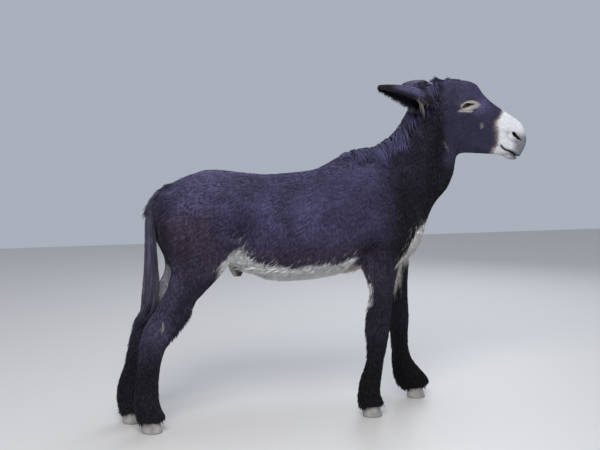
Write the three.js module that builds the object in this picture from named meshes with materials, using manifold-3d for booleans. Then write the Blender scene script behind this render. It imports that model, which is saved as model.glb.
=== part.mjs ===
// A standing donkey, life size, as a still museum model.
// Millimetres, +X towards the nose, +Y towards its left side, +Z up, soles on z = 0.
import * as THREE from 'three';
import { mergeVertices } from 'three/addons/utils/BufferGeometryUtils.js';
import Module from 'manifold-3d';

const wasm = await Module();
wasm.setup();

// ---------------------------------------------------------------- driving sizes

const GAP = 0.35;                // clear space between touching pieces
const BODY_SIDES = 22;           // points round the trunk, neck and head
const LEG_SIDES = 12;            // points round a leg
const BODY_STEPS = 2;            // rings from one body station to the next
const LEG_STEPS = 2;
const BALL_SIDES = 10;
const HAIR_SIDES = 10;           // points round the tail, sheath, mane and forelock
const CUTTER = 5000;             // larger than the animal
const WELD = 1e-4;

const NECK_TURN = { start: 560, end: 880, angle: THREE.MathUtils.degToRad(10) };

const EYE = { x: 1016, y: 74, z: 1606, radius: 22 };
const NOSTRIL = { x: 1306, y: 52, z: 1440, length: 24, depth: 15, height: 11, slope: 0.85 };
const MOUTH = { back: [1222, 1393], front: [1352, 1318], gape: 7, width: 170 };
const HOOF = { height: 78, width: 92, heelWidth: 0.9, topScale: 0.9, soleScale: 0.96, lean: 14 };
const HOOF_LEVELS = [0, 0.12, 0.55, 1];

// Where the body is parted: a point on each plane and the way its far side faces.
const PARTING = {
  poll: { at: [925, 0, 1560], facing: [415, 0, 105] },
  shoulder: { at: [650, 0, 1215], facing: [400, 0, 370] },
  elbow: { at: [600, 0, 735], facing: [0, 0, -1] },
  stifle: { at: [-420, 0, 802], facing: [-0.15, 0, -1] },
  knee: { at: [540, 0, 482], facing: [0, 0, -1] },
  hock: { at: [-590, 0, 452], facing: [-0.22, 0, -1] },
};
const FORE_CELL = [415, 1000];   // x range below the elbow plane that is foreleg
const HIND_CELL = [-900, -215];  // x range below the stifle plane that is hind leg

const COLOUR = {
  coat: 0x2b2630, mane: 0x1c1a22, ear: 0x2a2630, hoof: 0x9a8f80, eye: 0x1a110c, sheath: 0x3a3136,
};

const ROUGHNESS = { wet: 0.1, dry: 0.8 };

// Body stations from the rump to the lips. top and under are [x, z] on the midline;
// half is the half width, wide the height of the widest point as a share of the depth,
// crown and keel how narrow the top and the underside are (1 is round).
const BODY = [
  { top: [-604, 1118], under: [-598, 1030], half: 44, wide: 0.5, crown: 1, keel: 1 },
  { top: [-588, 1170], under: [-572, 950], half: 104, wide: 0.55, crown: 1.05, keel: 0.9 },
  { top: [-500, 1228], under: [-480, 872], half: 178, wide: 0.55, crown: 1.05, keel: 0.8 },
  { top: [-335, 1289], under: [-310, 824], half: 214, wide: 0.52, crown: 1.0, keel: 0.8 },
  { top: [-185, 1278], under: [-170, 782], half: 222, wide: 0.5, crown: 1.0, keel: 0.85 },
  { top: [-30, 1262], under: [-30, 712], half: 240, wide: 0.47, crown: 0.98, keel: 0.9 },
  { top: [110, 1271], under: [115, 703], half: 250, wide: 0.46, crown: 1.0, keel: 0.92 },
  { top: [235, 1284], under: [262, 711], half: 242, wide: 0.45, crown: 1.12, keel: 0.95 },
  { top: [340, 1340], under: [400, 734], half: 222, wide: 0.44, crown: 1.3, keel: 1.0 },
  { top: [440, 1381], under: [545, 768], half: 202, wide: 0.44, crown: 1.42, keel: 1.0 },
  { top: [540, 1394], under: [700, 772], half: 178, wide: 0.46, crown: 1.35, keel: 0.95 },
  { top: [612, 1428], under: [796, 866], half: 152, wide: 0.48, crown: 1.25, keel: 0.9 },
  { top: [668, 1476], under: [834, 985], half: 124, wide: 0.5, crown: 1.22, keel: 0.9 },
  { top: [716, 1560], under: [882, 1090], half: 103, wide: 0.5, crown: 1.2, keel: 0.9 },
  { top: [778, 1646], under: [950, 1168], half: 92, wide: 0.5, crown: 1.15, keel: 0.95 },
  { top: [838, 1708], under: [985, 1262], half: 88, wide: 0.52, crown: 1.05, keel: 1.0 },
  { top: [902, 1738], under: [992, 1330], half: 86, wide: 0.6, crown: 0.95, keel: 1.1 },
  { top: [975, 1741], under: [1014, 1352], half: 92, wide: 0.62, crown: 0.85, keel: 1.1 },
  { top: [1040, 1737], under: [1058, 1355], half: 97, wide: 0.64, crown: 0.8, keel: 1.15 },
  { top: [1088, 1719], under: [1104, 1352], half: 92, wide: 0.64, crown: 0.76, keel: 1.15 },
  { top: [1118, 1677], under: [1136, 1351], half: 84, wide: 0.66, crown: 0.74, keel: 1.1 },
  { top: [1158, 1638], under: [1172, 1349], half: 75, wide: 0.65, crown: 0.74, keel: 1.05 },
  { top: [1206, 1603], under: [1208, 1348], half: 66, wide: 0.57, crown: 0.74, keel: 0.95 },
  { top: [1256, 1570], under: [1242, 1340], half: 62, wide: 0.52, crown: 0.78, keel: 0.9 },
  { top: [1300, 1545], under: [1270, 1324], half: 64, wide: 0.52, crown: 0.85, keel: 0.85 },
  { top: [1340, 1512], under: [1300, 1320], half: 60, wide: 0.52, crown: 0.9, keel: 0.85 },
  { top: [1362, 1462], under: [1328, 1336], half: 47, wide: 0.52, crown: 0.95, keel: 0.9 },
  { top: [1368, 1424], under: [1346, 1366], half: 24, wide: 0.5, crown: 1, keel: 1 },
];

// Leg stations from the top down. front and rear are [x, z], out is how far the leg's
// middle stands from the midline, half is half its width from side to side.
const NEAR_HIND = [
  { front: [-352, 1185], rear: [-500, 1165], out: 84, half: 48 },
  { front: [-236, 1050], rear: [-582, 1055], out: 104, half: 94 },
  { front: [-212, 930], rear: [-592, 955], out: 108, half: 102 },
  { front: [-232, 842], rear: [-552, 872], out: 110, half: 94 },
  { front: [-296, 752], rear: [-530, 790], out: 110, half: 80 },
  { front: [-398, 648], rear: [-558, 700], out: 106, half: 64 },
  { front: [-445, 560], rear: [-608, 612], out: 102, half: 57 },
  { front: [-498, 494], rear: [-662, 534], out: 99, half: 56 },
  { front: [-556, 406], rear: [-684, 432], out: 97, half: 52 },
  { front: [-579, 318], rear: [-697, 330], out: 96, half: 46 },
  { front: [-588, 232], rear: [-710, 244], out: 95, half: 46 },
  { front: [-586, 152], rear: [-713, 158], out: 95, half: 52 },
  { front: [-568, 100], rear: [-704, 96], out: 95, half: 56 },
  { front: [-554, 58], rear: [-690, 48], out: 95, half: 60 },
];
const FAR_HIND = [
  ...NEAR_HIND.slice(0, 5),
  { front: [-408, 648], rear: [-572, 698], out: 104, half: 64 },
  { front: [-470, 566], rear: [-630, 612], out: 99, half: 57 },
  { front: [-532, 500], rear: [-690, 532], out: 95, half: 56 },
  { front: [-598, 408], rear: [-716, 428], out: 92, half: 52 },
  { front: [-630, 318], rear: [-738, 328], out: 91, half: 46 },
  { front: [-656, 236], rear: [-768, 244], out: 90, half: 46 },
  { front: [-664, 156], rear: [-783, 160], out: 90, half: 52 },
  { front: [-654, 102], rear: [-776, 98], out: 90, half: 56 },
  { front: [-642, 58], rear: [-762, 48], out: 90, half: 60 },
];
const NEAR_FORE = [
  { front: [636, 1262], rear: [492, 1268], out: 54, half: 40 },
  { front: [742, 1150], rear: [436, 1165], out: 92, half: 82 },
  { front: [798, 1010], rear: [418, 1020], out: 104, half: 92 },
  { front: [762, 896], rear: [418, 888], out: 112, half: 90 },
  { front: [660, 800], rear: [432, 792], out: 120, half: 80 },
  { front: [629, 712], rear: [474, 712], out: 126, half: 66 },
  { front: [618, 630], rear: [493, 632], out: 126, half: 58 },
  { front: [608, 540], rear: [474, 542], out: 126, half: 56 },
  { front: [600, 456], rear: [464, 462], out: 126, half: 56 },
  { front: [588, 370], rear: [474, 376], out: 126, half: 47 },
  { front: [570, 280], rear: [470, 284], out: 125, half: 44 },
  { front: [557, 190], rear: [440, 192], out: 125, half: 50 },
  { front: [552, 122], rear: [428, 116], out: 125, half: 55 },
  { front: [576, 60], rear: [438, 48], out: 125, half: 62 },
];
const FAR_FORE = [
  { front: [636, 1262], rear: [492, 1268], out: 54, half: 40 },
  { front: [742, 1150], rear: [440, 1165], out: 92, half: 82 },
  { front: [802, 1004], rear: [438, 1020], out: 106, half: 92 },
  { front: [804, 896], rear: [480, 888], out: 116, half: 88 },
  { front: [801, 800], rear: [572, 792], out: 126, half: 78 },
  { front: [800, 712], rear: [642, 712], out: 132, half: 66 },
  { front: [799, 630], rear: [670, 632], out: 135, half: 58 },
  { front: [803, 540], rear: [674, 542], out: 135, half: 56 },
  { front: [809, 456], rear: [676, 462], out: 135, half: 56 },
  { front: [806, 370], rear: [698, 372], out: 135, half: 47 },
  { front: [811, 280], rear: [708, 276], out: 135, half: 44 },
  { front: [838, 212], rear: [714, 194], out: 135, half: 50 },
  { front: [888, 156], rear: [730, 122], out: 135, half: 55 },
  { front: [924, 108], rear: [768, 72], out: 135, half: 59 },
  { front: [926, 64], rear: [788, 48], out: 135, half: 60 },
];

const LEGS = [
  { name: 'hind_right', side: -1, stations: NEAR_HIND, cell: HIND_CELL, hoof: [-678, -572],
    top: PARTING.stifle, middle: PARTING.hock },
  { name: 'hind_left', side: 1, stations: FAR_HIND, cell: HIND_CELL, hoof: [-759, -653],
    top: PARTING.stifle, middle: PARTING.hock },
  { name: 'fore_right', side: -1, stations: NEAR_FORE, cell: FORE_CELL, hoof: [457, 565],
    top: PARTING.elbow, middle: PARTING.knee },
  { name: 'fore_left', side: 1, stations: FAR_FORE, cell: FORE_CELL, hoof: [804, 912],
    top: PARTING.elbow, middle: PARTING.knee },
];

// Tail stations from the dock down: rear and front edge, and half the width.
const TAIL = [
  { front: [-560, 1196], rear: [-576, 1214], half: 22 },
  { front: [-576, 1130], rear: [-617, 1150], half: 27 },
  { front: [-592, 1050], rear: [-632, 1056], half: 24 },
  { front: [-584, 950], rear: [-637, 950], half: 26 },
  { front: [-576, 820], rear: [-643, 820], half: 31 },
  { front: [-572, 700], rear: [-653, 700], half: 33 },
  { front: [-592, 610], rear: [-665, 610], half: 28 },
  { front: [-640, 512], rear: [-690, 524], half: 12 },
];

// The mane lies over the crest to the right: its edge above the crest, its lower edge.
const MANE = [
  { top: [468, 1388], low: [455, 1316], outTop: 2, outLow: -98, half: 8 },
  { top: [500, 1402], low: [474, 1280], outTop: 2, outLow: -128, half: 15 },
  { top: [580, 1418], low: [540, 1288], outTop: 2, outLow: -122, half: 17 },
  { top: [648, 1468], low: [610, 1338], outTop: 2, outLow: -96, half: 18 },
  { top: [700, 1540], low: [690, 1425], outTop: 2, outLow: -76, half: 17 },
  { top: [764, 1640], low: [748, 1530], outTop: 2, outLow: -68, half: 16 },
  { top: [838, 1722], low: [808, 1640], outTop: 2, outLow: -40, half: 12 },
];
const FORELOCK = [
  { top: [856, 1742], low: [862, 1700], out: 0, half: 26 },
  { top: [890, 1764], low: [900, 1700], out: 0, half: 30 },
  { top: [930, 1758], low: [945, 1700], out: 0, half: 30 },
  { top: [985, 1748], low: [985, 1700], out: 0, half: 16 },
];

// Each ear is a curled leaf: the middle line, the radius of its curl, how much of
// the circle its wall covers, and the way that its opening faces.
const EAR_WALL = 7;
const EAR_THIN = 0.45;           // the wall is at most this share of the curl's radius
const EAR_INNER = 0.94;          // the inside covers this share of the outside's angle
const EAR_LOOK = 0.05;           // step along the line that gives its direction
const EAR_STEPS = 3;
const EAR_ARC = 7;               // points round the outside of the curl
const EAR_RIGHT = {
  side: -1, opening: [-0.1, -0.7, -0.7],
  line: [[818, -62, 1606], [768, -88, 1630], [690, -112, 1656], [605, -128, 1676], [520, -136, 1692]],
  radius: [44, 55, 49, 34, 15], cover: [300, 290, 285, 285, 300],
};
// The mane keeps out of the near ear's base.
const EAR_HOLLOW = { at: [782, -84, 1622], radius: 66 };
const EAR_LEFT = {
  side: 1, opening: [-0.45, 0.1, -0.89],
  line: [[862, 52, 1666], [846, 108, 1684], [824, 178, 1698], [802, 246, 1708], [786, 318, 1716]],
  radius: [40, 52, 48, 34, 15], cover: [300, 290, 285, 285, 300],
};

const SHEATH = [
  { front: [-196, 838], rear: [-236, 850], half: 22 },
  { front: [-158, 800], rear: [-228, 812], half: 32 },
  { front: [-140, 765], rear: [-215, 776], half: 30 },
  { front: [-150, 738], rear: [-196, 744], half: 15 },
];

// ---------------------------------------------------------------- solids

function toManifold(geometry) {
  const bare = geometry.clone();
  for (const name of Object.keys(bare.attributes)) {
    if (name !== 'position') bare.deleteAttribute(name);
  }
  const merged = mergeVertices(bare, WELD);
  return new wasm.Manifold(new wasm.Mesh({
    numProp: 3,
    vertProperties: new Float32Array(merged.attributes.position.array),
    triVerts: new Uint32Array(merged.index.array),
  }));
}

function toGeometry(solid) {
  const mesh = solid.getMesh();
  const geometry = new THREE.BufferGeometry();
  geometry.setAttribute('position', new THREE.BufferAttribute(mesh.vertProperties, 3));
  geometry.setIndex(new THREE.BufferAttribute(mesh.triVerts, 1));
  geometry.computeVertexNormals();
  return geometry;
}

// Turns everything ahead of the shoulders to the right, round an arc of the neck.
function turnNeck(x, y, z) {
  const along = THREE.MathUtils.clamp(x, NECK_TURN.start, NECK_TURN.end) - NECK_TURN.start;
  const curl = NECK_TURN.angle / (NECK_TURN.end - NECK_TURN.start);
  const angle = curl * along;
  const ahead = Math.max(0, x - NECK_TURN.end);
  const middle = Math.min(x, NECK_TURN.start) + Math.sin(angle) / curl;
  return [
    middle + ahead * Math.cos(angle) + y * Math.sin(angle),
    -(1 - Math.cos(angle)) / curl - ahead * Math.sin(angle) + y * Math.cos(angle),
    z,
  ];
}

// Triangles over one end ring: a fan round its middle, or, where the ring goes out
// along one edge and back along the other, a strip between the two.
function endFan(points, ring, start) {
  const middle = [0, 1, 2].map((i) => ring.reduce((sum, p) => sum + p[i], 0) / ring.length);
  const hub = points.push(middle) - 1;
  return ring.flatMap((_, k) => [hub, start + (k + 1) % ring.length, start + k]);
}

function endStrip(points, ring, start) {
  const last = ring.length - 1;
  const index = [];
  for (let k = 0; k + 1 < ring.length / 2; k += 1) {
    const [a, b, c, d] = [k, k + 1, last - k - 1, last - k].map((i) => start + i);
    index.push(a, c, b, a, d, c);
  }
  return index;
}

function flip(index) {
  return index.map((_, i) => index[i - (i % 3) + (2 - (i % 3))]);
}

// A closed surface over equal rings of points.
function closeRings(rings, capOf = endFan) {
  const sides = rings[0].length;
  const points = rings.flat();
  const index = [];
  for (let r = 0; r + 1 < rings.length; r += 1) {
    for (let k = 0; k < sides; k += 1) {
      const a = r * sides + k;
      const b = r * sides + (k + 1) % sides;
      index.push(a, b, a + sides, b, b + sides, a + sides);
    }
  }
  const end = rings.length - 1;
  index.push(...capOf(points, rings[0], 0));
  index.push(...flip(capOf(points, rings[end], end * sides)));
  const geometry = new THREE.BufferGeometry();
  geometry.setAttribute('position', new THREE.Float32BufferAttribute(points.flat(), 3));
  geometry.setIndex(index);
  if (signedVolume(geometry) < 0) geometry.setIndex(flip(index));
  return toManifold(geometry);
}

function signedVolume(geometry) {
  const p = geometry.attributes.position;
  const corner = [0, 1, 2].map(() => new THREE.Vector3());
  let volume = 0;
  for (let t = 0; t < geometry.index.count; t += 3) {
    corner.forEach((c, i) => c.fromBufferAttribute(p, geometry.index.getX(t + i)));
    volume += corner[0].dot(corner[1].clone().cross(corner[2])) / 6;
  }
  return volume;
}

// A smooth value between numbered stations.
function between(values, t) {
  const i = Math.min(Math.floor(t), values.length - 2);
  const pick = (k) => values[THREE.MathUtils.clamp(k, 0, values.length - 1)];
  const [a, b, c, d] = [pick(i - 1), pick(i), pick(i + 1), pick(i + 2)];
  const f = t - i;
  return b + 0.5 * f * (c - a + f * (2 * a - 5 * b + 4 * c - d + f * (3 * (b - c) + d - a)));
}

// Rings of a body whose stations give a first edge, a second edge and a half width.
function loft(stations, { first, second, sides, steps, grow = 0, shape = turnNeck, side = 1 }) {
  const read = (pick) => (t) => between(stations.map(pick), t);
  const edge = {
    ax: read((s) => s[first][0]), az: read((s) => s[first][1]),
    bx: read((s) => s[second][0]), bz: read((s) => s[second][1]),
  };
  const half = read((s) => s.half);
  const outA = read((s) => s.outTop ?? s.out ?? 0);
  const outB = read((s) => s.outLow ?? s.out ?? 0);
  const wide = read((s) => s.wide ?? 0.5);
  const crown = read((s) => s.crown ?? 0.9);
  const keel = read((s) => s.keel ?? 0.9);
  const rings = [];
  const count = (stations.length - 1) * steps;
  for (let r = 0; r <= count; r += 1) {
    const t = r / steps;
    const a = new THREE.Vector2(edge.ax(t), edge.az(t));
    const b = new THREE.Vector2(edge.bx(t), edge.bz(t));
    const stretch = a.clone().sub(b).normalize().multiplyScalar(grow);
    a.add(stretch);
    b.sub(stretch);
    const ring = [];
    for (let k = 0; k < sides; k += 1) {
      const angle = (2 * Math.PI * (k + 0.5)) / sides;
      const c = Math.cos(angle);
      const s = Math.sin(angle);
      const v = s > 0 ? wide(t) + (1 - wide(t)) * s : wide(t) + wide(t) * s;
      const lateral = (half(t) + grow) * Math.sign(c) * Math.abs(c) ** (s > 0 ? crown(t) : keel(t));
      const x = b.x + (a.x - b.x) * v;
      const z = b.y + (a.y - b.y) * v;
      const out = outB(t) + (outA(t) - outB(t)) * v;
      ring.push(shape(x, side * (out + lateral), z));
    }
    rings.push(ring);
  }
  return closeRings(rings);
}

const asIs = (x, y, z) => [x, y, z];

function bodyTube(grow) {
  return loft(BODY, { first: 'top', second: 'under', sides: BODY_SIDES, steps: BODY_STEPS, grow });
}

function legLoft(leg) {
  return loft(leg.stations, {
    first: 'front', second: 'rear', sides: LEG_SIDES, steps: LEG_STEPS, shape: asIs, side: leg.side,
  });
}

function sideLoft(stations, grow = 0) {
  return loft(stations, {
    first: 'front', second: 'rear', sides: HAIR_SIDES, steps: LEG_STEPS, grow, shape: asIs,
  });
}

function hairLoft(stations) {
  return loft(stations, { first: 'top', second: 'low', sides: HAIR_SIDES, steps: LEG_STEPS });
}

// A hoof: a flat sole, a wall that leans in towards the hairline, a narrower heel.
function hoofSolid(leg, grow = 0) {
  const [heel, toe] = leg.hoof;
  const middle = (heel + toe) / 2;
  const out = leg.stations[leg.stations.length - 1].out;
  const rings = HOOF_LEVELS.map((level) => {
    const scale = level === 0 ? HOOF.soleScale : 1 - (1 - HOOF.topScale) * level;
    const height = level === 0 ? -grow : level * HOOF.height;
    const ring = [];
    for (let k = 0; k < LEG_SIDES; k += 1) {
      const angle = (2 * Math.PI * (k + 0.5)) / LEG_SIDES;
      const ahead = Math.cos(angle);
      const beside = Math.sin(angle);
      const narrow = ahead < 0 ? 1 + (1 - HOOF.heelWidth) * ahead : 1;
      const x = middle + ahead * ((scale * (toe - heel)) / 2 + grow) - level * HOOF.lean;
      const y = out + beside * ((scale * narrow * HOOF.width) / 2 + grow);
      ring.push([x, leg.side * y, height]);
    }
    return ring;
  });
  return closeRings(rings);
}

function pointOn(line, t) {
  return new THREE.Vector3(...[0, 1, 2].map((i) => between(line.map((point) => point[i]), t)));
}

// A curled ear: each ring goes round the outside of the wall and back along the inside.
function earSolid(ear, grow = 0) {
  const opening = new THREE.Vector3(...ear.opening).normalize();
  const steps = (ear.line.length - 1) * EAR_STEPS;
  const arc = EAR_ARC;
  const rings = [];
  for (let r = 0; r <= steps; r += 1) {
    const t = r / EAR_STEPS;
    const at = pointOn(ear.line, t);
    const ahead = Math.min(t + EAR_LOOK, ear.line.length - 1);
    const along = pointOn(ear.line, ahead).sub(pointOn(ear.line, ahead - 2 * EAR_LOOK)).normalize();
    const back = opening.clone().negate().addScaledVector(along, opening.dot(along)).normalize();
    const across = along.clone().cross(back);
    const bare = between(ear.radius, t);
    const radius = bare + grow;
    const wall = Math.min(EAR_WALL, bare * EAR_THIN) + 2 * grow;
    const span = THREE.MathUtils.degToRad(between(ear.cover, t)) + (3 * grow) / bare;
    const ring = [];
    const place = (angle, distance) => {
      const p = at.clone().addScaledVector(back, Math.cos(angle) * distance);
      p.addScaledVector(across, Math.sin(angle) * distance);
      ring.push(turnNeck(p.x, p.y, p.z));
    };
    for (let k = 0; k < arc; k += 1) place(span * (k / (arc - 1) - 0.5), radius);
    for (let k = arc - 1; k >= 0; k -= 1) place(EAR_INNER * span * (k / (arc - 1) - 0.5), radius - wall);
    rings.push(ring);
  }
  return closeRings(rings, endStrip);
}

function ball(at, radius, stretch = [1, 1, 1], slope = 0) {
  const geometry = new THREE.SphereGeometry(radius, BALL_SIDES, BALL_SIDES / 2);
  geometry.scale(...stretch);
  geometry.rotateY(slope);
  const p = geometry.attributes.position;
  for (let i = 0; i < p.count; i += 1) {
    p.setXYZ(i, ...turnNeck(p.getX(i) + at[0], p.getY(i) + at[1], p.getZ(i) + at[2]));
  }
  return toManifold(geometry);
}

// Everything ahead of a plane, less half of the gap.
function beyond(plane) {
  const facing = new THREE.Vector3(...plane.facing).normalize();
  const box = new THREE.BoxGeometry(CUTTER, CUTTER, CUTTER);
  const turn = new THREE.Quaternion().setFromUnitVectors(new THREE.Vector3(0, 0, 1), facing);
  box.applyQuaternion(turn);
  const middle = new THREE.Vector3(...plane.at).addScaledVector(facing, CUTTER / 2 + GAP / 2);
  box.translate(middle.x, middle.y, middle.z);
  return toManifold(box);
}

// Everything behind it.
function before(plane) {
  return beyond({ at: plane.at, facing: plane.facing.map((n) => -n) });
}

// One side of the body between two x values.
function slot(range, side, margin) {
  const box = new THREE.BoxGeometry(range[1] - range[0] + 2 * margin, CUTTER, CUTTER);
  box.translate((range[0] + range[1]) / 2, side * (CUTTER / 2 + GAP / 2 - margin), 0);
  return toManifold(box);
}

function mouthCut() {
  const [bx, bz] = MOUTH.back;
  const [fx, fz] = MOUTH.front;
  const shape = new THREE.Shape([
    new THREE.Vector2(bx, bz), new THREE.Vector2(fx, fz - MOUTH.gape), new THREE.Vector2(fx, fz + MOUTH.gape),
  ]);
  const geometry = new THREE.ExtrudeGeometry(shape, { depth: MOUTH.width, bevelEnabled: false });
  geometry.rotateX(Math.PI / 2);
  geometry.translate(0, MOUTH.width / 2, 0);
  const p = geometry.attributes.position;
  for (let i = 0; i < p.count; i += 1) p.setXYZ(i, ...turnNeck(p.getX(i), p.getY(i), p.getZ(i)));
  return toManifold(geometry);
}

// ---------------------------------------------------------------- the animal

function nostrils(solid) {
  return [-1, 1].reduce((rest, side) => rest.subtract(ball(
    [NOSTRIL.x, side * NOSTRIL.y, NOSTRIL.z], 1,
    [NOSTRIL.length, NOSTRIL.depth, NOSTRIL.height], NOSTRIL.slope,
  )), solid);
}

function eyeBall(side, grow = 0) {
  return ball([EYE.x, side * EYE.y, EYE.z], EYE.radius + grow);
}

function makeParts() {
  const parts = {};
  const tube = bodyTube(0);
  const around = bodyTube(GAP);
  const tailAround = sideLoft(TAIL, GAP);
  const legs = LEGS.map(legLoft);
  const flesh = legs.reduce((sum, leg) => sum.add(leg), tube).subtract(tailAround);

  let head = flesh.intersect(beyond(PARTING.poll)).subtract(mouthCut());
  head = nostrils(head).subtract(eyeBall(-1, GAP)).subtract(eyeBall(1, GAP));
  parts.head = head;
  const behindPoll = flesh.intersect(before(PARTING.poll));
  parts.neck = behindPoll.intersect(beyond(PARTING.shoulder));
  let trunk = behindPoll.intersect(before(PARTING.shoulder));

  for (const leg of LEGS) {
    const cell = slot(leg.cell, leg.side, 0).intersect(beyond(leg.top));
    const limb = trunk.intersect(cell).subtract(hoofSolid(leg, GAP));
    parts[`${leg.name}_upper_leg`] = limb.intersect(before(leg.middle));
    parts[`${leg.name}_lower_leg`] = limb.intersect(beyond(leg.middle));
    parts[`${leg.name}_hoof`] = hoofSolid(leg);
  }
  for (const leg of LEGS) {
    const raised = { at: [leg.top.at[0], 0, leg.top.at[2] + GAP], facing: leg.top.facing };
    trunk = trunk.subtract(slot(leg.cell, leg.side, GAP).intersect(beyond(raised)));
  }
  parts.trunk = trunk.subtract(sideLoft(SHEATH, GAP));
  parts.sheath = sideLoft(SHEATH);
  parts.tail = sideLoft(TAIL);

  parts.ear_right = earSolid(EAR_RIGHT).subtract(around);
  parts.ear_left = earSolid(EAR_LEFT).subtract(around);
  const ears = [EAR_RIGHT, EAR_LEFT].map((ear) => earSolid(ear, GAP));
  const clear = (solid) => ears.reduce((rest, ear) => rest.subtract(ear), solid.subtract(around));
  parts.mane = clear(hairLoft(MANE)).subtract(ball(EAR_HOLLOW.at, EAR_HOLLOW.radius));
  parts.forelock = clear(hairLoft(FORELOCK));
  parts.eye_right = eyeBall(-1);
  parts.eye_left = eyeBall(1);
  return parts;
}

function colourOf(name) {
  if (name === 'forelock' || name === 'tail') return COLOUR.mane;
  return COLOUR[Object.keys(COLOUR).find((key) => name.includes(key)) ?? 'coat'];
}

function meshOf(name, solid) {
  const roughness = name.startsWith('eye') ? ROUGHNESS.wet : ROUGHNESS.dry;
  const material = new THREE.MeshStandardMaterial({ color: colourOf(name), roughness, metalness: 0 });
  const mesh = new THREE.Mesh(toGeometry(solid), material);
  mesh.name = name;
  return mesh;
}

function makeDonkey() {
  const donkey = new THREE.Group();
  for (const [name, solid] of Object.entries(makeParts())) donkey.add(meshOf(name, solid));
  const box = new THREE.Box3().setFromObject(donkey);
  const middle = box.getCenter(new THREE.Vector3());
  donkey.position.set(-middle.x, -middle.y, -box.min.z);
  return donkey;
}

export default makeDonkey();
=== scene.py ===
import math

import bpy
import bmesh
import numpy as np
import openvdb
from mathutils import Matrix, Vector
from mathutils.bvhtree import BVHTree


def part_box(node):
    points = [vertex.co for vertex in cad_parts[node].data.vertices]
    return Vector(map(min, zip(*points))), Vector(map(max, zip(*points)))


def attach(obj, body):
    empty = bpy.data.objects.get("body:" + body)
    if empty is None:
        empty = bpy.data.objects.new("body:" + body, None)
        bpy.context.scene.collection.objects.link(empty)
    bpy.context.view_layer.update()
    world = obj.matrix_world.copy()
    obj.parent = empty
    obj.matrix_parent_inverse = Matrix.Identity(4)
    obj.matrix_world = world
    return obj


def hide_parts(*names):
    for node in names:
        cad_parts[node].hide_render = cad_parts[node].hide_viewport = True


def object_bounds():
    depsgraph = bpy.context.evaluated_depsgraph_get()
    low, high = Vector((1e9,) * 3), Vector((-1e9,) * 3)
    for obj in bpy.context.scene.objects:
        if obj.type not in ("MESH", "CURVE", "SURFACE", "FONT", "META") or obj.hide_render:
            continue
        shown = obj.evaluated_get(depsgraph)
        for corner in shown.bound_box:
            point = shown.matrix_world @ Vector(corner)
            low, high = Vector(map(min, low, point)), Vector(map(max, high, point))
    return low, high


# A donkey standing with its head held out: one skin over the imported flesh, then the coat
# as solid tufts, the long hair as locks, and the eyes and hooves as pieces of their own.
# Everything is in metres. Places on the animal are given along its straight body axis
# (ahead, left, up), before the neck turns to the right; to_row() brings them to the frame.

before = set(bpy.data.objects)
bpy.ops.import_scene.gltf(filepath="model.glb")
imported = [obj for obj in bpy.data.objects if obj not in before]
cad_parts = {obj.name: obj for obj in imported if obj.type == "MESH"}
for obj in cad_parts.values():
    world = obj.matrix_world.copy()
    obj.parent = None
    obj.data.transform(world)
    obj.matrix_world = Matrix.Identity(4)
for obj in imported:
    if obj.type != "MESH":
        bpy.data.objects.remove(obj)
cad_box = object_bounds()
rng = np.random.default_rng(20260)

# ---------------------------------------------------------------- driving sizes

VOXEL = 0.004
SKIN_TRIANGLES = 78_000
TUFT_SHARE = 1.0
PIECE_TRIANGLES = 190_000
LOCK_SHARE = max(TUFT_SHARE, 0.4)           # how many of the long hair's locks are made
WISP_SHARE = max(TUFT_SHARE, 0.5)           # the same for the wisp of the right ear
BAND, MARGIN = 3, 4                         # voxels each side of a surface, and round a mesh
CUT_COVER = 0.0006                          # how far the skin stands off, to close the CAD's thin cuts
FAR = 9.0                                   # a distance that stands for nowhere near

NECK_START, NECK_END = 0.560, 0.880
NECK_ANGLE = math.radians(10)
NECK_RADIUS = (NECK_END - NECK_START) / NECK_ANGLE

EYE = np.array((1.016, 0.074, 1.606))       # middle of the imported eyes, left one
EYEBALL = np.array((1.016, 0.0715, 1.606))  # middle of the modelled eyes
EYE_RADIUS = 0.0215
EYE_TILT = math.radians(16)                 # the front corner is the higher one
EYE_AHEAD = math.radians(14)                # how far the eyes look forward
LID_THICKNESS = 0.0034
# The slit of the half closed eye: places along it, and the heights of its two edges.
SLIT_ALONG = (-0.0240, -0.0160, -0.0060, 0.0040, 0.0140, 0.0240, 0.0340, 0.0420)
SLIT_UPPER = (-0.0060, 0.0035, 0.0090, 0.0095, 0.0055, 0.0015, -0.0030, -0.0056)
SLIT_LOWER = (-0.0060, -0.0088, -0.0095, -0.0085, -0.0068, -0.0055, -0.0054, -0.0056)
CORNEA = 0.0011                             # how far the eye bulges in its middle
IRIS_RADIUS = 0.0150
PUPIL = (0.0085, 0.0042)                    # half its length along the slit, and across it

EAR_COAT = 0.0022                           # depth of the coat outside the ears
EAR_WALL = 0.0052                           # how thick the ears are
EAR_REACH = 1.16                            # on the ear, as a share of its curl's radius
EAR_STEPS = 40                              # places tried along an ear
WISP_END = (0.797, -0.094, 1.530)           # of the pale wisp under the right ear
WISP_BOW = (0.016, -0.008, 0.016)           # how far its middle stands off the straight line

HIND_STEP = 0.081                           # how much further back the left hind foot stands
HOOF_FILL = 0.073                           # the skin closes over the hooves from here up
HOOF_HEIGHT = 0.084                         # up to where the hair covers the horn
HOOF_HEEL_BACK = 0.0087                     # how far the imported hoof's top reaches behind its sole
HOOF_SIDES = 72                             # points round a hoof

HAIR_LINE = 0.070                           # where the hair ends over the sides of the hooves
ROOT_DEPTH = 0.003                          # how deep the hanging locks start in the skin
CLUMP = 0.022                               # width of the mane's locks
TAPER_AT = (0, 0.3, 0.7, 1)                 # shares of a lock's length where its width is given
LOCK_THICKNESS = 0.36                       # as a share of its width
RISE = 1.3                                  # how late along its length a laid lock leaves the skin
PALE_TIP = 0.10                             # how much lighter a lock's tip is
PATCH = 0.003                               # size of a lock on the unwrap

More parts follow.
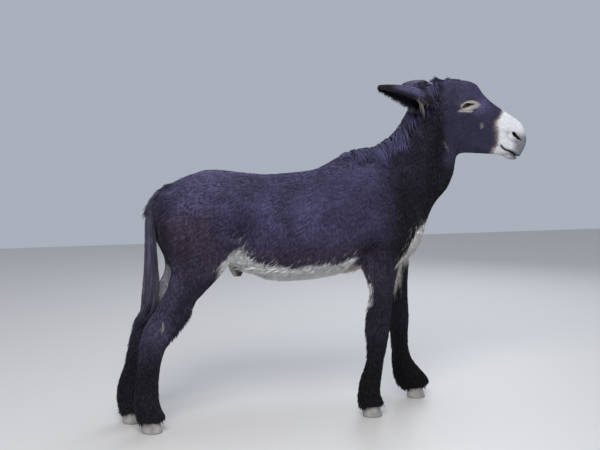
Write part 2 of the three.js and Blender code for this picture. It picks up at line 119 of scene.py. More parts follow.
CAMERA_FROM = np.array((-1.100, -4.673, 1.541))
CAMERA_HEADING = math.radians(15)
CAMERA_PITCH = math.radians(6.43)
CAMERA_LENS = 57.0

FLESH = ["trunk", "neck", "head"] + [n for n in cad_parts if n.endswith("_leg")]
LEGS = ("fore_right", "fore_left", "hind_right", "hind_left")


# ---------------------------------------------------------------- frame and numbers

def bend(points):
    """The straight animal's points, brought round the turned neck."""
    s, left, up = points.T
    angle = turn_of(s)
    ahead = np.maximum(0, s - NECK_END)
    x = np.minimum(s, NECK_START) + NECK_RADIUS * np.sin(angle)
    x += ahead * np.cos(angle) + left * np.sin(angle)
    y = -NECK_RADIUS * (1 - np.cos(angle)) - ahead * np.sin(angle) + left * np.cos(angle)
    return np.stack([x, y, up], 1)


def to_row(points):
    points = np.atleast_2d(np.asarray(points, float))
    return bend(points) + SHIFT


def to_straight(points):
    """The inverse of to_row: where a point would be with the neck straight."""
    x, y, up = (np.asarray(points, float) - SHIFT).T
    dx, dy = x - NECK_START, y + NECK_RADIUS
    angle = np.clip(np.arctan2(dx, dy), 0, NECK_ANGLE)
    left = dx * np.sin(angle) + dy * np.cos(angle) - NECK_RADIUS
    ahead = dx * np.cos(angle) - dy * np.sin(angle)
    s = NECK_START + angle * NECK_RADIUS + ahead
    return np.stack([s, left, up], 1)


def turn_of(s):
    """How far the neck has turned at each place along the body."""
    return np.clip(s - NECK_START, 0, NECK_END - NECK_START) / NECK_RADIUS


def turn_vectors(vectors, straight, back=False):
    """Directions on the straight animal, turned with the neck (or back again)."""
    angle = turn_of(straight[:, 0]) * (-1 if back else 1)
    x, y, z = vectors.T
    return np.stack([x * np.cos(angle) + y * np.sin(angle),
                     -x * np.sin(angle) + y * np.cos(angle), z], 1)


def find_shift():
    """From the straight animal's origin to the frame's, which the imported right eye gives."""
    low, high = (np.array(c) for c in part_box("eye_right"))
    shift = (low + high) / 2 - bend(np.array([EYE * (1, -1, 1)]))[0]
    shift[2] = 0.0
    return shift


SHIFT = find_shift()


def lines_to_row(lines):
    """to_row() for the middle lines of locks."""
    return to_row(lines.reshape(-1, 3)).reshape(lines.shape)


def smooth(x, low, high):
    """0 below low, 1 above high, and a soft step between them."""
    t = np.clip((x - low) / (high - low), 0, 1)
    return t * t * (3 - 2 * t)


def unit(v):
    return v / np.maximum(np.linalg.norm(v, axis=-1, keepdims=True), 1e-9)


def hump(x, middle, width):
    """1 at the middle, falling off over the width."""
    return np.exp(-((x - middle) / width) ** 2)


def bell(points, middle, size):
    """A soft round patch: 1 at its middle, falling off over size (ahead, up)."""
    d = (points[:, [0, 2]] - middle) / size
    return np.exp(-(d ** 2).sum(1))


def along(points, a, b):
    """Distance in the side view from the line a to b, and the share of the way along it."""
    p, a, b = points[:, [0, 2]], np.array(a), np.array(b)
    way = np.clip(((p - a) @ (b - a)) / ((b - a) @ (b - a)), 0, 1)
    return np.linalg.norm(p - (a + way[:, None] * (b - a)), axis=1), way


def line_distance(points, line):
    """Distance in the side view from a line of (ahead, up) points."""
    return np.minimum.reduce([along(points, a, b)[0] for a, b in zip(line[:-1], line[1:])])


def crease(points, line, width):
    """A soft stripe along a line."""
    return hump(line_distance(points, line), 0, width)


def lattice(seed, size=32):
    return np.random.default_rng(seed).random((size, size, size))


LATTICES = [lattice(seed) for seed in (11, 12, 13)]


def value_noise(points, scale, which=0):
    """Smooth noise from -1 to 1 with features about scale across."""
    grid = LATTICES[which]
    size = grid.shape[0]
    p = points / scale + 100.0
    cell = np.floor(p).astype(int)
    f = p - cell
    f = f * f * (3 - 2 * f)
    total = np.zeros(len(points))
    for corner in range(8):
        bits = [(corner >> k) & 1 for k in range(3)]
        weight = np.prod([f[:, k] if bits[k] else 1 - f[:, k] for k in range(3)], axis=0)
        x, y, z = ((cell[:, k] + bits[k]) % size for k in range(3))
        total += weight * grid[x, y, z]
    return total * 2 - 1


# ---------------------------------------------------------------- meshes

def flatten(way, normals, share=1.0):
    """Directions laid flat on the surface, or part of the way there."""
    return unit(way - normals * (way * normals).sum(1, keepdims=True) * share)


def shade_smooth(mesh):
    mesh.polygons.foreach_set("use_smooth", np.ones(len(mesh.polygons), bool))


def make_object(name, points, faces):
    mesh = bpy.data.meshes.new(name)
    faces = np.asarray(faces, np.int32)
    mesh.vertices.add(len(points))
    mesh.vertices.foreach_set("co", np.asarray(points, np.float32).ravel())
    mesh.loops.add(faces.size)
    mesh.loops.foreach_set("vertex_index", faces.ravel())
    mesh.polygons.add(len(faces))
    mesh.polygons.foreach_set("loop_start", np.arange(0, faces.size, faces.shape[1], dtype=np.int32))
    mesh.update(calc_edges=True)
    mesh.validate()
    shade_smooth(mesh)
    piece = bpy.data.objects.new(name, mesh)
    bpy.context.scene.collection.objects.link(piece)
    return piece


def read(collection, field, kind, width):
    """A mesh's numbers as rows of the given width."""
    out = np.empty(len(collection) * width, kind)
    collection.foreach_get(field, out)
    return out.reshape(-1, width)


def points_of(mesh):
    return read(mesh.vertices, "co", np.float32, 3).astype(float)


def normals_of(mesh):
    return read(mesh.vertex_normals, "vector", np.float32, 3).astype(float)


def triangles_of(mesh):
    mesh.calc_loop_triangles()
    return read(mesh.loop_triangles, "vertices", np.int32, 3)


def set_points(mesh, points):
    mesh.vertices.foreach_set("co", np.asarray(points, np.float32).ravel())
    mesh.update()


def set_colour(mesh, name, colours):
    layer = mesh.attributes.new(name, "FLOAT_COLOR", "POINT")
    rgba = np.ones((len(colours), 4), np.float32)
    rgba[:, :3] = colours
    layer.data.foreach_set("color", rgba.ravel())


def dress(piece, slot, material, attribute, colours, *replaced):
    """Paints a piece, gives it its material, sets it on the root and hides the nodes it replaces."""
    set_colour(piece.data, attribute, colours)
    piece.data.materials.append(MATERIALS[material])
    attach(piece, "root")
    if replaced:
        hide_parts(*replaced)


def with_modifier(piece, kind, **settings):
    """Applies one modifier and gives the piece its result."""
    modifier = piece.modifiers.new(kind, kind)
    for key, value in settings.items():
        setattr(modifier, key, value)
    bpy.context.view_layer.update()
    done = bpy.data.meshes.new_from_object(piece.evaluated_get(bpy.context.evaluated_depsgraph_get()))
    piece.modifiers.clear()
    piece.data = done


def volume_of(points, triangles):
    a, b, c = (points[triangles[:, k]] for k in range(3))
    return np.einsum("ij,ij->i", a, np.cross(b, c)).sum() / 6


def outward(points, faces):
    return faces if volume_of(points, faces) > 0 else faces[:, ::-1]


def tube_grid(stations, sides):
    """Each point's station and angle, for a tube of rings."""
    around = np.linspace(0, 2 * math.pi, sides, endpoint=False)
    return np.repeat(stations, sides), np.tile(around, len(stations))


def tube_walls(rings, sides):
    faces = []
    for r in range(rings - 1):
        for k in range(sides):
            a, b = r * sides + k, r * sides + (k + 1) % sides
            faces += [(a, b, b + sides), (a, b + sides, a + sides)]
    return faces


def closed_tube(name, points, rings, sides):
    """A tube with its two ends closed."""
    faces = tube_walls(rings, sides)
    last = (rings - 1) * sides
    for k in range(1, sides - 1):
        faces += [(0, k + 1, k), (last, last + k, last + k + 1)]
    return make_object(name, points, outward(points, np.array(faces)))


class Web:
    """The neighbours of each point of a mesh, for smoothing it."""

    def __init__(self, mesh):
        edges = read(mesh.edges, "vertices", np.int32, 2)
        self.a = np.concatenate([edges[:, 0], edges[:, 1]])
        self.b = np.concatenate([edges[:, 1], edges[:, 0]])
        self.count = np.maximum(np.bincount(self.a, minlength=len(mesh.vertices)), 1)

    def mean(self, values):
        size = len(self.count)
        sums = [np.bincount(self.a, values[self.b, k], minlength=size) for k in range(values.shape[1])]
        return np.stack(sums, 1) / self.count[:, None]

    def smooth(self, points, share, rounds):
        for _ in range(rounds):
            points = points + (self.mean(points) - points) * share
        return points


# ---------------------------------------------------------------- the skin's shape

def voxel_range(low, high):
    """The voxels from low to high, with a margin."""
    return np.floor(low / VOXEL).astype(int) - MARGIN, np.ceil(high / VOXEL).astype(int) + MARGIN


def grid_array(points, triangles, low, high):
    """Signed distances from a closed mesh on the voxels from low to high."""
    grid = openvdb.FloatGrid.createLevelSetFromPolygons(
        points.astype(np.float32), triangles=triangles.astype(np.int32),
        transform=openvdb.createLinearTransform(VOXEL), halfWidth=BAND)
    values = np.full(tuple(high - low + 1), BAND * VOXEL, np.float32)
    grid.copyToArray(values, ijk=tuple(int(v) for v in low))
    return values


def flesh_surface():
    """One closed surface round all the flesh nodes, over the thin cuts between them."""
    low, high = voxel_range(*(np.array(c) for c in cad_box))
    whole = np.full(tuple(high - low + 1), BAND * VOXEL, np.float32)
    for name in FLESH + ["eye_left", "eye_right"] + [leg + "_hoof" for leg in LEGS]:
        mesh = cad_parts[name].data
        points = points_of(mesh)
        start, stop = voxel_range(points.min(0), points.max(0))
        values = grid_array(points, triangles_of(mesh), start, stop)
        if name.endswith("_hoof"):
            heights = (start[2] + np.arange(values.shape[2])) * VOXEL
            values = np.maximum(values, (HOOF_FILL - heights)[None, None].astype(np.float32))
        where = tuple(slice(a - o, b - o + 1) for a, b, o in zip(start, stop, low))
        np.minimum(whole[where], values, out=whole[where])
    grid = openvdb.FloatGrid(BAND * VOXEL)
    grid.transform = openvdb.createLinearTransform(VOXEL)
    grid.copyFromArray(whole, ijk=tuple(int(v) for v in low))
    points, quads = grid.convertToQuads(isovalue=CUT_COVER)
    return np.asarray(points, float), np.asarray(quads)


# Forms under the skin, seen from the side: (ahead, up), size (ahead, up), height.
FORMS = {
    "shoulder point": ((0.775, 1.035), (0.050, 0.060), 0.006),
    "shoulder blade": ((0.575, 1.235), (0.060, 0.110), 0.005),
    "upper arm": ((0.560, 0.945), (0.105, 0.075), 0.009),
    "elbow": ((0.465, 0.845), (0.040, 0.050), 0.005),
    "hollow behind the shoulder": ((0.395, 1.120), (0.060, 0.130), -0.007),
    "hollow of the withers": ((0.430, 1.300), (0.080, 0.040), -0.005),
    "hip bone": ((-0.240, 1.195), (0.045, 0.050), 0.009),
    "flank": ((-0.175, 1.060), (0.060, 0.085), -0.012),
    "stifle": ((-0.262, 0.880), (0.050, 0.060), 0.006),
    "seat bone": ((-0.545, 1.100), (0.040, 0.050), 0.006),
    "thigh": ((-0.390, 1.000), (0.110, 0.100), 0.006),
    "loin": ((-0.150, 1.225), (0.110, 0.030), -0.003),
    "rib cage": ((0.130, 1.020), (0.200, 0.130), 0.004),
    "cheek": ((1.010, 1.475), (0.075, 0.080), 0.006),
    "temple": ((0.960, 1.650), (0.030, 0.028), -0.006),
    "eye socket": ((1.018, 1.640), (0.040, 0.020), 0.005),
    "side of the nose": ((1.180, 1.530), (0.050, 0.035), -0.004),
    "hollow by the jaw": ((1.135, 1.405), (0.050, 0.030), -0.004),
    "upper lip": ((1.300, 1.395), (0.035, 0.028), 0.003),
    "chin": ((1.262, 1.345), (0.022, 0.014), 0.004),
}
RIDGES = [  # a line of (ahead, up), width, height
    ([(0.520, 1.330), (0.640, 1.200), (0.740, 1.080)], 0.020, 0.004),
    ([(0.690, 1.240), (0.770, 1.130)], 0.030, -0.004),
    ([(0.440, 1.010), (0.520, 0.860)], 0.026, -0.005),
    ([(-0.470, 1.120), (-0.480, 0.980), (-0.500, 0.860)], 0.022, -0.006),
    ([(-0.310, 1.150), (-0.330, 1.000)], 0.030, -0.004),
    ([(0.888, 1.480), (0.902, 1.443), (0.922, 1.396), (0.946, 1.352)], 0.012, -0.007),
    ([(0.900, 1.335), (0.860, 1.180), (0.822, 1.050)], 0.026, -0.006),
    ([(0.830, 1.420), (0.740, 1.250), (0.690, 1.150)], 0.045, 0.004),
    ([(1.062, 1.556), (1.110, 1.532), (1.160, 1.505)], 0.010, 0.004),
    ([(0.930, 1.610), (0.985, 1.600)], 0.014, 0.004),
]


def side_of(straight):
    """How much a point lies on the flank of the body, not on its back or underside."""
    return smooth(np.abs(straight[:, 1]), 0.030, 0.080)


def muscle_height(straight):
    height = np.zeros(len(straight))
    for middle, size, amount in FORMS.values():
        height += amount * bell(straight, middle, size)
    for line, width, amount in RIDGES:
        height += amount * crease(straight, line, width)
    return height * side_of(straight)


def is_leg(straight):
    return smooth(-straight[:, 2], -0.74, -0.62)


def is_head(straight):
    s, _, up = straight.T
    return smooth(s, 0.880, 0.960) * smooth(up, 1.28, 1.34)


def is_muzzle(straight):
    return smooth(straight[:, 0], 1.170, 1.215) * is_head(straight)


def is_belly(straight):
    """The underside with its long fringe."""
    s, left, up = straight.T
    under = (1 - smooth(up, 0.745, 0.815)) * smooth(s, -0.24, -0.10)
    return under * (1 - smooth(s, 0.36, 0.46)) * (1 - smooth(np.abs(left), 0.15, 0.22))


def coat_depth(straight):
    """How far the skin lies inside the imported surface, which is the tips of the coat."""
    depth = 0.0062 + 0.0018 * is_leg(straight)
    depth += 0.024 * is_belly(straight)
    depth += (0.0035 - depth) * is_head(straight)
    return depth + (0.0020 - depth) * is_muzzle(straight)


def refine(piece, wanted):
    """Halves the edges of the faces whose middle is wanted."""
    mesh = bmesh.new()
    mesh.from_mesh(piece.data)
    middles = np.array([f.calc_center_median() for f in mesh.faces])
    chosen = wanted(to_straight(middles))
    mesh.faces.ensure_lookup_table()
    edges = {e for i in np.flatnonzero(chosen) for e in mesh.faces[i].edges}
    bmesh.ops.subdivide_edges(mesh, edges=list(edges), cuts=1, use_grid_fill=True)
    bmesh.ops.triangulate(mesh, faces=mesh.faces)
    mesh.to_mesh(piece.data)
    mesh.free()


def by_eye(straight, reach):
    """The skin within reach of either eye's slit, in the side view."""
    s, left, up = straight.T
    return ((s - EYE[0] - 0.008) ** 2 + (up - EYE[2]) ** 2 < reach ** 2) & (np.abs(left) > 0.05)


def near_face(straight):
    """The places whose shape needs finer faces: round the eyes, and the muzzle."""
    return by_eye(straight, 0.054) | ((straight[:, 0] > 1.205) & (straight[:, 2] > 1.30))


def finest_face(straight):
    """Round the eyes' slits, the nostrils and the line of the mouth."""
    nostril = nostril_place(straight) < 2.6
    lips = line_distance(straight, MOUTH) < 0.012
    in_front = (straight[:, 0] > 1.21) & (np.abs(straight[:, 1]) > 0.008)
    return by_eye(straight, 0.038) | ((nostril | lips) & in_front)


def eye_axes(side):
    """Along the slit towards its front corner, across it upwards, and out of the head."""
    forward = np.array((math.cos(EYE_AHEAD), -side * math.sin(EYE_AHEAD), 0.0))
    out = np.array((math.sin(EYE_AHEAD), side * math.cos(EYE_AHEAD), 0.0))
    up = np.array((0.0, 0.0, 1.0))
    slit = forward * math.cos(EYE_TILT) + up * math.sin(EYE_TILT)
    across = up * math.cos(EYE_TILT) - forward * math.sin(EYE_TILT)
    return slit, across, out


def eye_place(straight, side):
    """Each point's place along the slit, across it and out of the head, from the eye."""
    d = straight - EYEBALL * (1, side, 1)
    return [d @ axis for axis in eye_axes(side)]


def lid_edges(u):
    """Heights of the lower and upper lid's edge above the eye's middle line."""
    return np.interp(u, SLIT_ALONG, SLIT_LOWER), np.interp(u, SLIT_ALONG, SLIT_UPPER)


def shape_eyes(straight):
    """Lids drawn over the eyeballs, with the half closed slit between them."""
    moved = straight.copy()
    for side in (-1, 1):
        u, v, w = eye_place(straight, side)
        reach = np.hypot(u, v)
        near = (reach < 0.055) & (straight[:, 1] * side > 0.03)
        ball = EYE_RADIUS + LID_THICKNESS
        over = np.sqrt(np.clip(ball ** 2 - reach ** 2, 0, None))
        target = np.where(reach < ball, np.maximum(w, over - 0.002), w)
        low, high = lid_edges(u)
        target += 0.0022 * hump(v - high, 0.013, 0.0060) * (reach < 0.05)
        target -= 0.0026 * hump(v - high, 0.0085, 0.0024) * smooth(-np.abs(u), -0.030, -0.014)
        target -= 0.0020 * hump(v - low, -0.0085, 0.0026) * smooth(-np.abs(u), -0.030, -0.012)
        inside = (v > low) & (v < high) & (u > SLIT_ALONG[0]) & (u < SLIT_ALONG[-1])
        under = np.sqrt(np.clip(EYE_RADIUS ** 2 - reach ** 2, 0, None)) - 0.0030
        floor = np.where(reach < 0.93 * EYE_RADIUS, np.maximum(under, 0.35 * EYE_RADIUS), target - 0.0035)
        target = np.where(inside, floor, target)
        blend = smooth(-reach, -0.055, -0.034)
        change = np.where(near, (target - w) * blend, 0.0)
        moved += change[:, None] * eye_axes(side)[2]
    return moved


NOSTRIL = ((1.281, 1.461), (1.289, 1.453), (1.301, 1.443), (1.313, 1.435), (1.322, 1.426))
NOSTRIL_WIDTH = (0.0075, 0.0098, 0.0062, 0.0042, 0.0028)
NOSTRIL_DEPTH = 0.026
NOSTRIL_FOLD = [(1.250, 1.462), (1.252, 1.444), (1.264, 1.428), (1.284, 1.418), (1.304, 1.412)]
MOUTH = [(1.218, 1.399), (1.230, 1.386), (1.245, 1.375), (1.264, 1.369), (1.284, 1.358), (1.300, 1.346),
         (1.318, 1.337), (1.350, 1.320)]


def from_eyes(straight, measure):
    """The least of a measure of the places along and across the eyes' slits, in front of them."""
    least = np.full(len(straight), FAR)
    for side in (-1, 1):
        u, v, w = eye_place(straight, side)
        least = np.minimum(least, np.where(w > 0, measure(u, v), FAR))
    return least


def nostril_place(straight):
    """Distance from the nostril's comma over its half width there: 1 at its edge."""
    reach = np.full(len(straight), FAR)
    for k in range(len(NOSTRIL) - 1):
        off, way = along(straight, NOSTRIL[k], NOSTRIL[k + 1])
        half = NOSTRIL_WIDTH[k] + (NOSTRIL_WIDTH[k + 1] - NOSTRIL_WIDTH[k]) * way
        reach = np.minimum(reach, off / half)
    return reach


def shape_muzzle(straight, normals):
    """The nostrils' pits and rims, the fold beside them and the line of the mouth."""
    moved = straight.copy()
    side = np.sign(straight[:, 1])
    flank = smooth(np.abs(straight[:, 1]), 0.018, 0.030)
    reach = nostril_place(straight)
    pit = (1 - smooth(reach, 0.45, 1.15)) * flank
    inward = np.stack([-0.45 * np.ones(len(side)), -side, 0.10 * np.ones(len(side))], 1)
    moved += (pit * NOSTRIL_DEPTH)[:, None] * unit(inward)
    above = smooth(straight[:, 0] + straight[:, 2], 2.735, 2.755)
    rim = hump(reach, 1.9, 0.55) * flank * (0.0014 + 0.0026 * above)
    moved += rim[:, None] * normals
    fold = crease(straight, NOSTRIL_FOLD, 0.0042) * flank
    moved -= (fold * 0.0030)[:, None] * normals
    near = line_distance(straight, MOUTH)
    slit = hump(near, 0, 0.0034) * smooth(straight[:, 0], 1.212, 1.230)
    moved -= (slit * 0.014)[:, None] * normals
    lips = hump(near, 0.012, 0.007) * smooth(straight[:, 0], 1.23, 1.26)
    moved += (lips * 0.0024)[:, None] * normals
    return moved


# Each ear is a curled leaf, as packed: middle line, radius of the curl, share of the circle
# its wall covers, and the way the opening faces.
EARS = {
    "ear_right": dict(
        opening=(-0.1, -0.7, -0.7),
        line=((0.818, -0.062, 1.606), (0.768, -0.088, 1.630), (0.690, -0.112, 1.656),
              (0.605, -0.128, 1.676), (0.520, -0.136, 1.692)),
        radius=(0.044, 0.055, 0.049, 0.034, 0.015), cover=(300, 290, 285, 285, 300)),
    "ear_left": dict(
        opening=(-0.45, 0.1, -0.89),
        line=((0.862, 0.052, 1.666), (0.846, 0.108, 1.684), (0.824, 0.178, 1.698),
              (0.802, 0.246, 1.708), (0.786, 0.318, 1.716)),
        radius=(0.040, 0.052, 0.048, 0.034, 0.015), cover=(300, 290, 285, 285, 300)),
}


def between(values, t):
    """A smooth value between numbered stations."""
    values = np.asarray(values, float)
    i = np.minimum(np.floor(t).astype(int), len(values) - 2)
    a, b, c, d = (values[np.clip(i + k, 0, len(values) - 1)] for k in (-1, 0, 1, 2))
    f = t - i
    if values.ndim > 1:
        f = f[:, None]
    return b + 0.5 * f * (c - a + f * (2 * a - 5 * b + 4 * c - d + f * (3 * (b - c) + d - a)))


def ear_frame(ear, t):
    """Middle, back, across and along directions, radius and half angle at places t."""
    last = len(ear["line"]) - 1
    at = between(ear["line"], t)
    ahead = np.minimum(t + 0.05, last)
    line = unit(between(ear["line"], ahead) - between(ear["line"], ahead - 0.1))
    opening = unit(np.array(ear["opening"]))
    back = unit(-opening + (line @ opening)[:, None] * line)
    across = np.cross(line, back)
    half = np.radians(between(ear["cover"], t)) / 2
    return at, back, across, line, between(ear["radius"], t), half


def ear_mesh(ear, rings=44, arc=18):
    """A closed shell: the outside of the wall round its edges to the inside."""
    last = len(ear["line"]) - 1
    t = np.linspace(0, last, rings)
    at, back, across, _, radius, half = ear_frame(ear, t)
    taper = np.clip((last - t) / 0.12, 0, 1) ** 0.5
    radius = (radius - EAR_COAT) * (0.55 + 0.45 * taper)
    wall = np.minimum(EAR_WALL, radius * 0.45)
    share = np.linspace(-1, 1, arc)
    loops = []
    for inner in (False, True):
        reach = radius - wall if inner else radius
        sweep = (0.95 if inner else 1.0) * half
        angle = sweep[:, None] * (share[::-1] if inner else share)[None, :]
        ring = at[:, None] + np.cos(angle)[..., None] * (back * reach[:, None])[:, None]
        loops.append(ring + np.sin(angle)[..., None] * (across * reach[:, None])[:, None])
    points = np.concatenate(loops, 1)
    sides = 2 * arc
    faces = tube_walls(rings, sides)
    for first, step in ((0, -1), ((rings - 1) * sides, 1)):
        for k in range(arc - 1):
            a, b = first + k, first + k + 1
            c, d = first + sides - 2 - k, first + sides - 1 - k
            faces += [(a, b, c)[::step], (a, c, d)[::step]]
    return points.reshape(-1, 3), np.array(faces)


def add_ears(skin):
    for name, ear in EARS.items():
        points, faces = ear_mesh(ear)
        points = to_row(points)
        piece = make_object(name + "_shell", points, outward(points, faces))
        with_modifier(skin, "BOOLEAN", operation="UNION", solver="MANIFOLD", object=piece)
        bpy.data.objects.remove(piece)


def lay_flesh():
    """The closed surface, smoothed, given its muscles and drawn in by the coat's depth."""
    skin = make_object("skin", *flesh_surface())
    web = Web(skin.data)
    points = points_of(skin.data)
    straight = to_straight(points)
    share = 0.55 - 0.30 * is_head(straight) - 0.15 * is_leg(straight)
    points = web.smooth(points, share[:, None], 14)
    set_points(skin.data, points)
    straight = to_straight(points)
    rise = muscle_height(straight) - coat_depth(straight)
    points = web.smooth(points + rise[:, None] * normals_of(skin.data), 0.3, 2)
    set_points(skin.data, points)
    return skin, to_straight(points)


def thin_out(skin, straight):
    """Fewer faces, least so on the head and legs, and finer ones again on the face."""
    weight = (1 - 0.75 * is_head(straight) - 0.35 * is_leg(straight)).round(1)
    fine = skin.vertex_groups.new(name="fine")
    for level in np.unique(weight):
        fine.add(np.flatnonzero(weight == level).tolist(), float(level), "REPLACE")
    with_modifier(skin, "TRIANGULATE")
    ratio = SKIN_TRIANGLES / len(skin.data.polygons)
    with_modifier(skin, "DECIMATE", ratio=ratio, vertex_group="fine", vertex_group_factor=1.0)
    refine(skin, near_face)
    refine(skin, finest_face)


def make_skin():
    """The whole skin: flesh, lids, nostrils, mouth and ears in one closed piece."""
    skin, straight = lay_flesh()
    thin_out(skin, straight)
    web = Web(skin.data)
    points = points_of(skin.data)
    points = web.smooth(points, near_face(to_straight(points))[:, None] * 0.5, 6)
    set_points(skin.data, points)
    straight = to_straight(points)
    turned = turn_vectors(normals_of(skin.data), straight, back=True)
    straight = shape_eyes(shape_muzzle(straight, turned))
    points = web.smooth(to_row(straight), near_face(straight)[:, None] * 0.25, 2)
    set_points(skin.data, points)
    add_ears(skin)
    with_modifier(skin, "TRIANGULATE")
    shade_smooth(skin.data)
    return skin


# ---------------------------------------------------------------- markings

BLACK = np.array((0.011, 0.010, 0.014))
# Black hair with a painted blue sheen of reflected sky light.
BLACK_WITH_BLUE_SHEEN = np.array((0.060, 0.053, 0.115))
# A lighter blue: painted sky sheen on the upper body and on hair that faces up.
SKY_SHEEN_TOP = np.array((0.092, 0.082, 0.152))
PLUM = np.array((0.044, 0.031, 0.050))
VIOLET_LEG = np.array((0.073, 0.064, 0.118))
BROWN_BLACK = np.array((0.013, 0.0115, 0.0165))
TAIL_BLACK = np.array((0.075, 0.070, 0.108))
WHITE = np.array((0.74, 0.74, 0.74))
CREAM = np.array((0.55, 0.51, 0.47))
TAN = np.array((0.30, 0.23, 0.20))
PINK_GREY = np.array((0.40, 0.33, 0.34))
# Grey for the painted shade round the nostrils and mouth.
MUZZLE_PAINTED_SHADE = np.array((0.20, 0.21, 0.24))
SKIN_DARK = np.array((0.016, 0.014, 0.016))
# The ears' outside: grey with a painted blue sheen.
EAR_GREY_WITH_SHEEN = np.array((0.116, 0.104, 0.200))
DUN_STREAK = np.array((0.22, 0.205, 0.22))
HORN = np.array((0.39, 0.365, 0.355))
IRIS_BROWN = np.array((0.040, 0.020, 0.011))
# The eye's white, painted dark brown as in shade.
EYE_WHITE_IN_SHADE = (0.055, 0.034, 0.026)
PUPIL_BLACK = (0.004, 0.004, 0.006)
# The sheath's front, dark with painted shade.
SHEATH_SHADE_DARK = np.array((0.022, 0.019, 0.024))
DARKEST, LIGHTEST = 0.004, 0.90

# Darker and lighter areas of the coat, seen from the side, partly painted highlights and painted shade and
# partly the coat's own tone: (ahead, up), size, share of lightening.
TONE_AND_PAINTED_LIGHT = (
    # painted shade in the flank's fold
    ((-0.190, 1.020), (0.055, 0.110), -0.45),
    # painted bluish highlight on the barrel
    ((-0.110, 1.125), (0.090, 0.040), 0.35),
    ((0.010, 1.110), (0.035, 0.060), -0.35),
    ((0.060, 1.040), (0.040, 0.080), -0.30),
    ((0.150, 1.110), (0.080, 0.050), 0.30),
    ((0.240, 1.000), (0.110, 0.050), 0.20),
    # painted bluish highlight on the rump
    ((-0.420, 1.140), (0.110, 0.070), 0.25),
    ((-0.560, 1.060), (0.035, 0.100), -0.45),
    # painted bluish highlight on the shoulder
    ((0.430, 1.270), (0.050, 0.050), 0.15),
    ((0.460, 1.130), (0.070, 0.080), -0.22),
    # painted bluish highlight on the shoulder
    ((0.560, 1.040), (0.060, 0.060), 0.15),
    ((0.480, 0.900), (0.080, 0.070), -0.60),
    # painted shade along the top of the back
    ((0.100, 1.205), (0.220, 0.045), -0.42),
    ((-0.560, 0.980), (0.025, 0.120), -0.40),
    ((0.680, 1.060), (0.060, 0.200), -0.40),
    ((0.890, 1.440), (0.045, 0.130), -0.45),
)
BELLY_EDGE = [(-0.300, 0.830), (-0.237, 0.905), (-0.175, 0.947), (-0.140, 0.880), (-0.060, 0.838),
              (0.040, 0.822), (0.150, 0.820), (0.260, 0.824), (0.350, 0.842), (0.400, 0.866)]
BREAST_EDGE = [(0.790, 0.600), (0.815, 0.632), (0.870, 0.682), (0.920, 0.707), (1.000, 0.752)]
MUZZLE_EDGE = [(1.370, 1.183), (1.394, 1.189), (1.463, 1.192), (1.525, 1.186), (1.572, 1.222), (1.640, 1.260)]
# The line of a painted highlight along the jaw's edge; the hair there also lies along it.
JAW_EDGE_HIGHLIGHT = [(0.908, 1.432), (0.920, 1.404), (0.938, 1.372)]
LOWER_LID_STREAK = [(0.988, 1.578), (1.050, 1.575)]


def edge_at(edge, x):
    """Where a line of (place, value) points is at each x."""
    return np.interp(x, *np.array(edge).T)


def paint(colour, mask, to):
    mask = np.clip(mask, 0, 1)[:, None]
    return colour * (1 - mask) + np.asarray(to) * mask


def ragged(points, size, amount):
    """A boundary's wander, so that markings end in uneven hair."""
    return value_noise(points, size, 1) * amount + value_noise(points, size * 0.35, 2) * amount * 0.5


def eye_reach(straight):
    """Distance from the middle of either eye's slit, stretched along it."""
    def stretched(u, v):
        return np.hypot((u - 0.0195) / 1.98, v + 0.0005 + 0.21 * np.maximum(u, 0))
    return from_eyes(straight, stretched)


def ear_places(straight):
    """For each ear: place along it, distance from its middle line over its radius, and edge share."""
    found = {}
    near = (straight[:, 2] > 1.50) & (straight[:, 0] > 0.45) & (straight[:, 0] < 0.95)
    for name, ear in EARS.items():
        t = np.linspace(0, len(ear["line"]) - 1, EAR_STEPS + 1)
        at, back, across, _, radius, half = ear_frame(ear, t)
        gap = straight[near][:, None, :] - at[None]
        nearest = (gap ** 2).sum(2).argmin(1)
        gap = gap[np.arange(len(nearest)), nearest]
        turn = np.arctan2((gap * across[nearest]).sum(1), (gap * back[nearest]).sum(1))
        place, reach, edge = np.zeros(len(straight)), np.full(len(straight), FAR), np.zeros(len(straight))
        place[near] = t[nearest]
        reach[near] = np.linalg.norm(gap, axis=1) / radius[nearest]
        edge[near] = np.abs(turn) / half[nearest]
        found[name] = place, reach, edge
    return found


def is_ear(straight):
    """1 on the ears and 0 off them, the place along the ear, round its wall, and inside it."""
    mask, along_ear, round_ear, inside = (np.zeros(len(straight)) for _ in range(4))
    for t, reach, edge in ear_places(straight).values():
        on = (reach < EAR_REACH) & (t > 0.9)
        mask[on] = smooth(t[on], 0.9, 1.4)
        along_ear[on], round_ear[on] = t[on], edge[on]
        inside[on] = smooth(-reach[on], -0.98, -0.90)
    return mask, along_ear, round_ear, inside


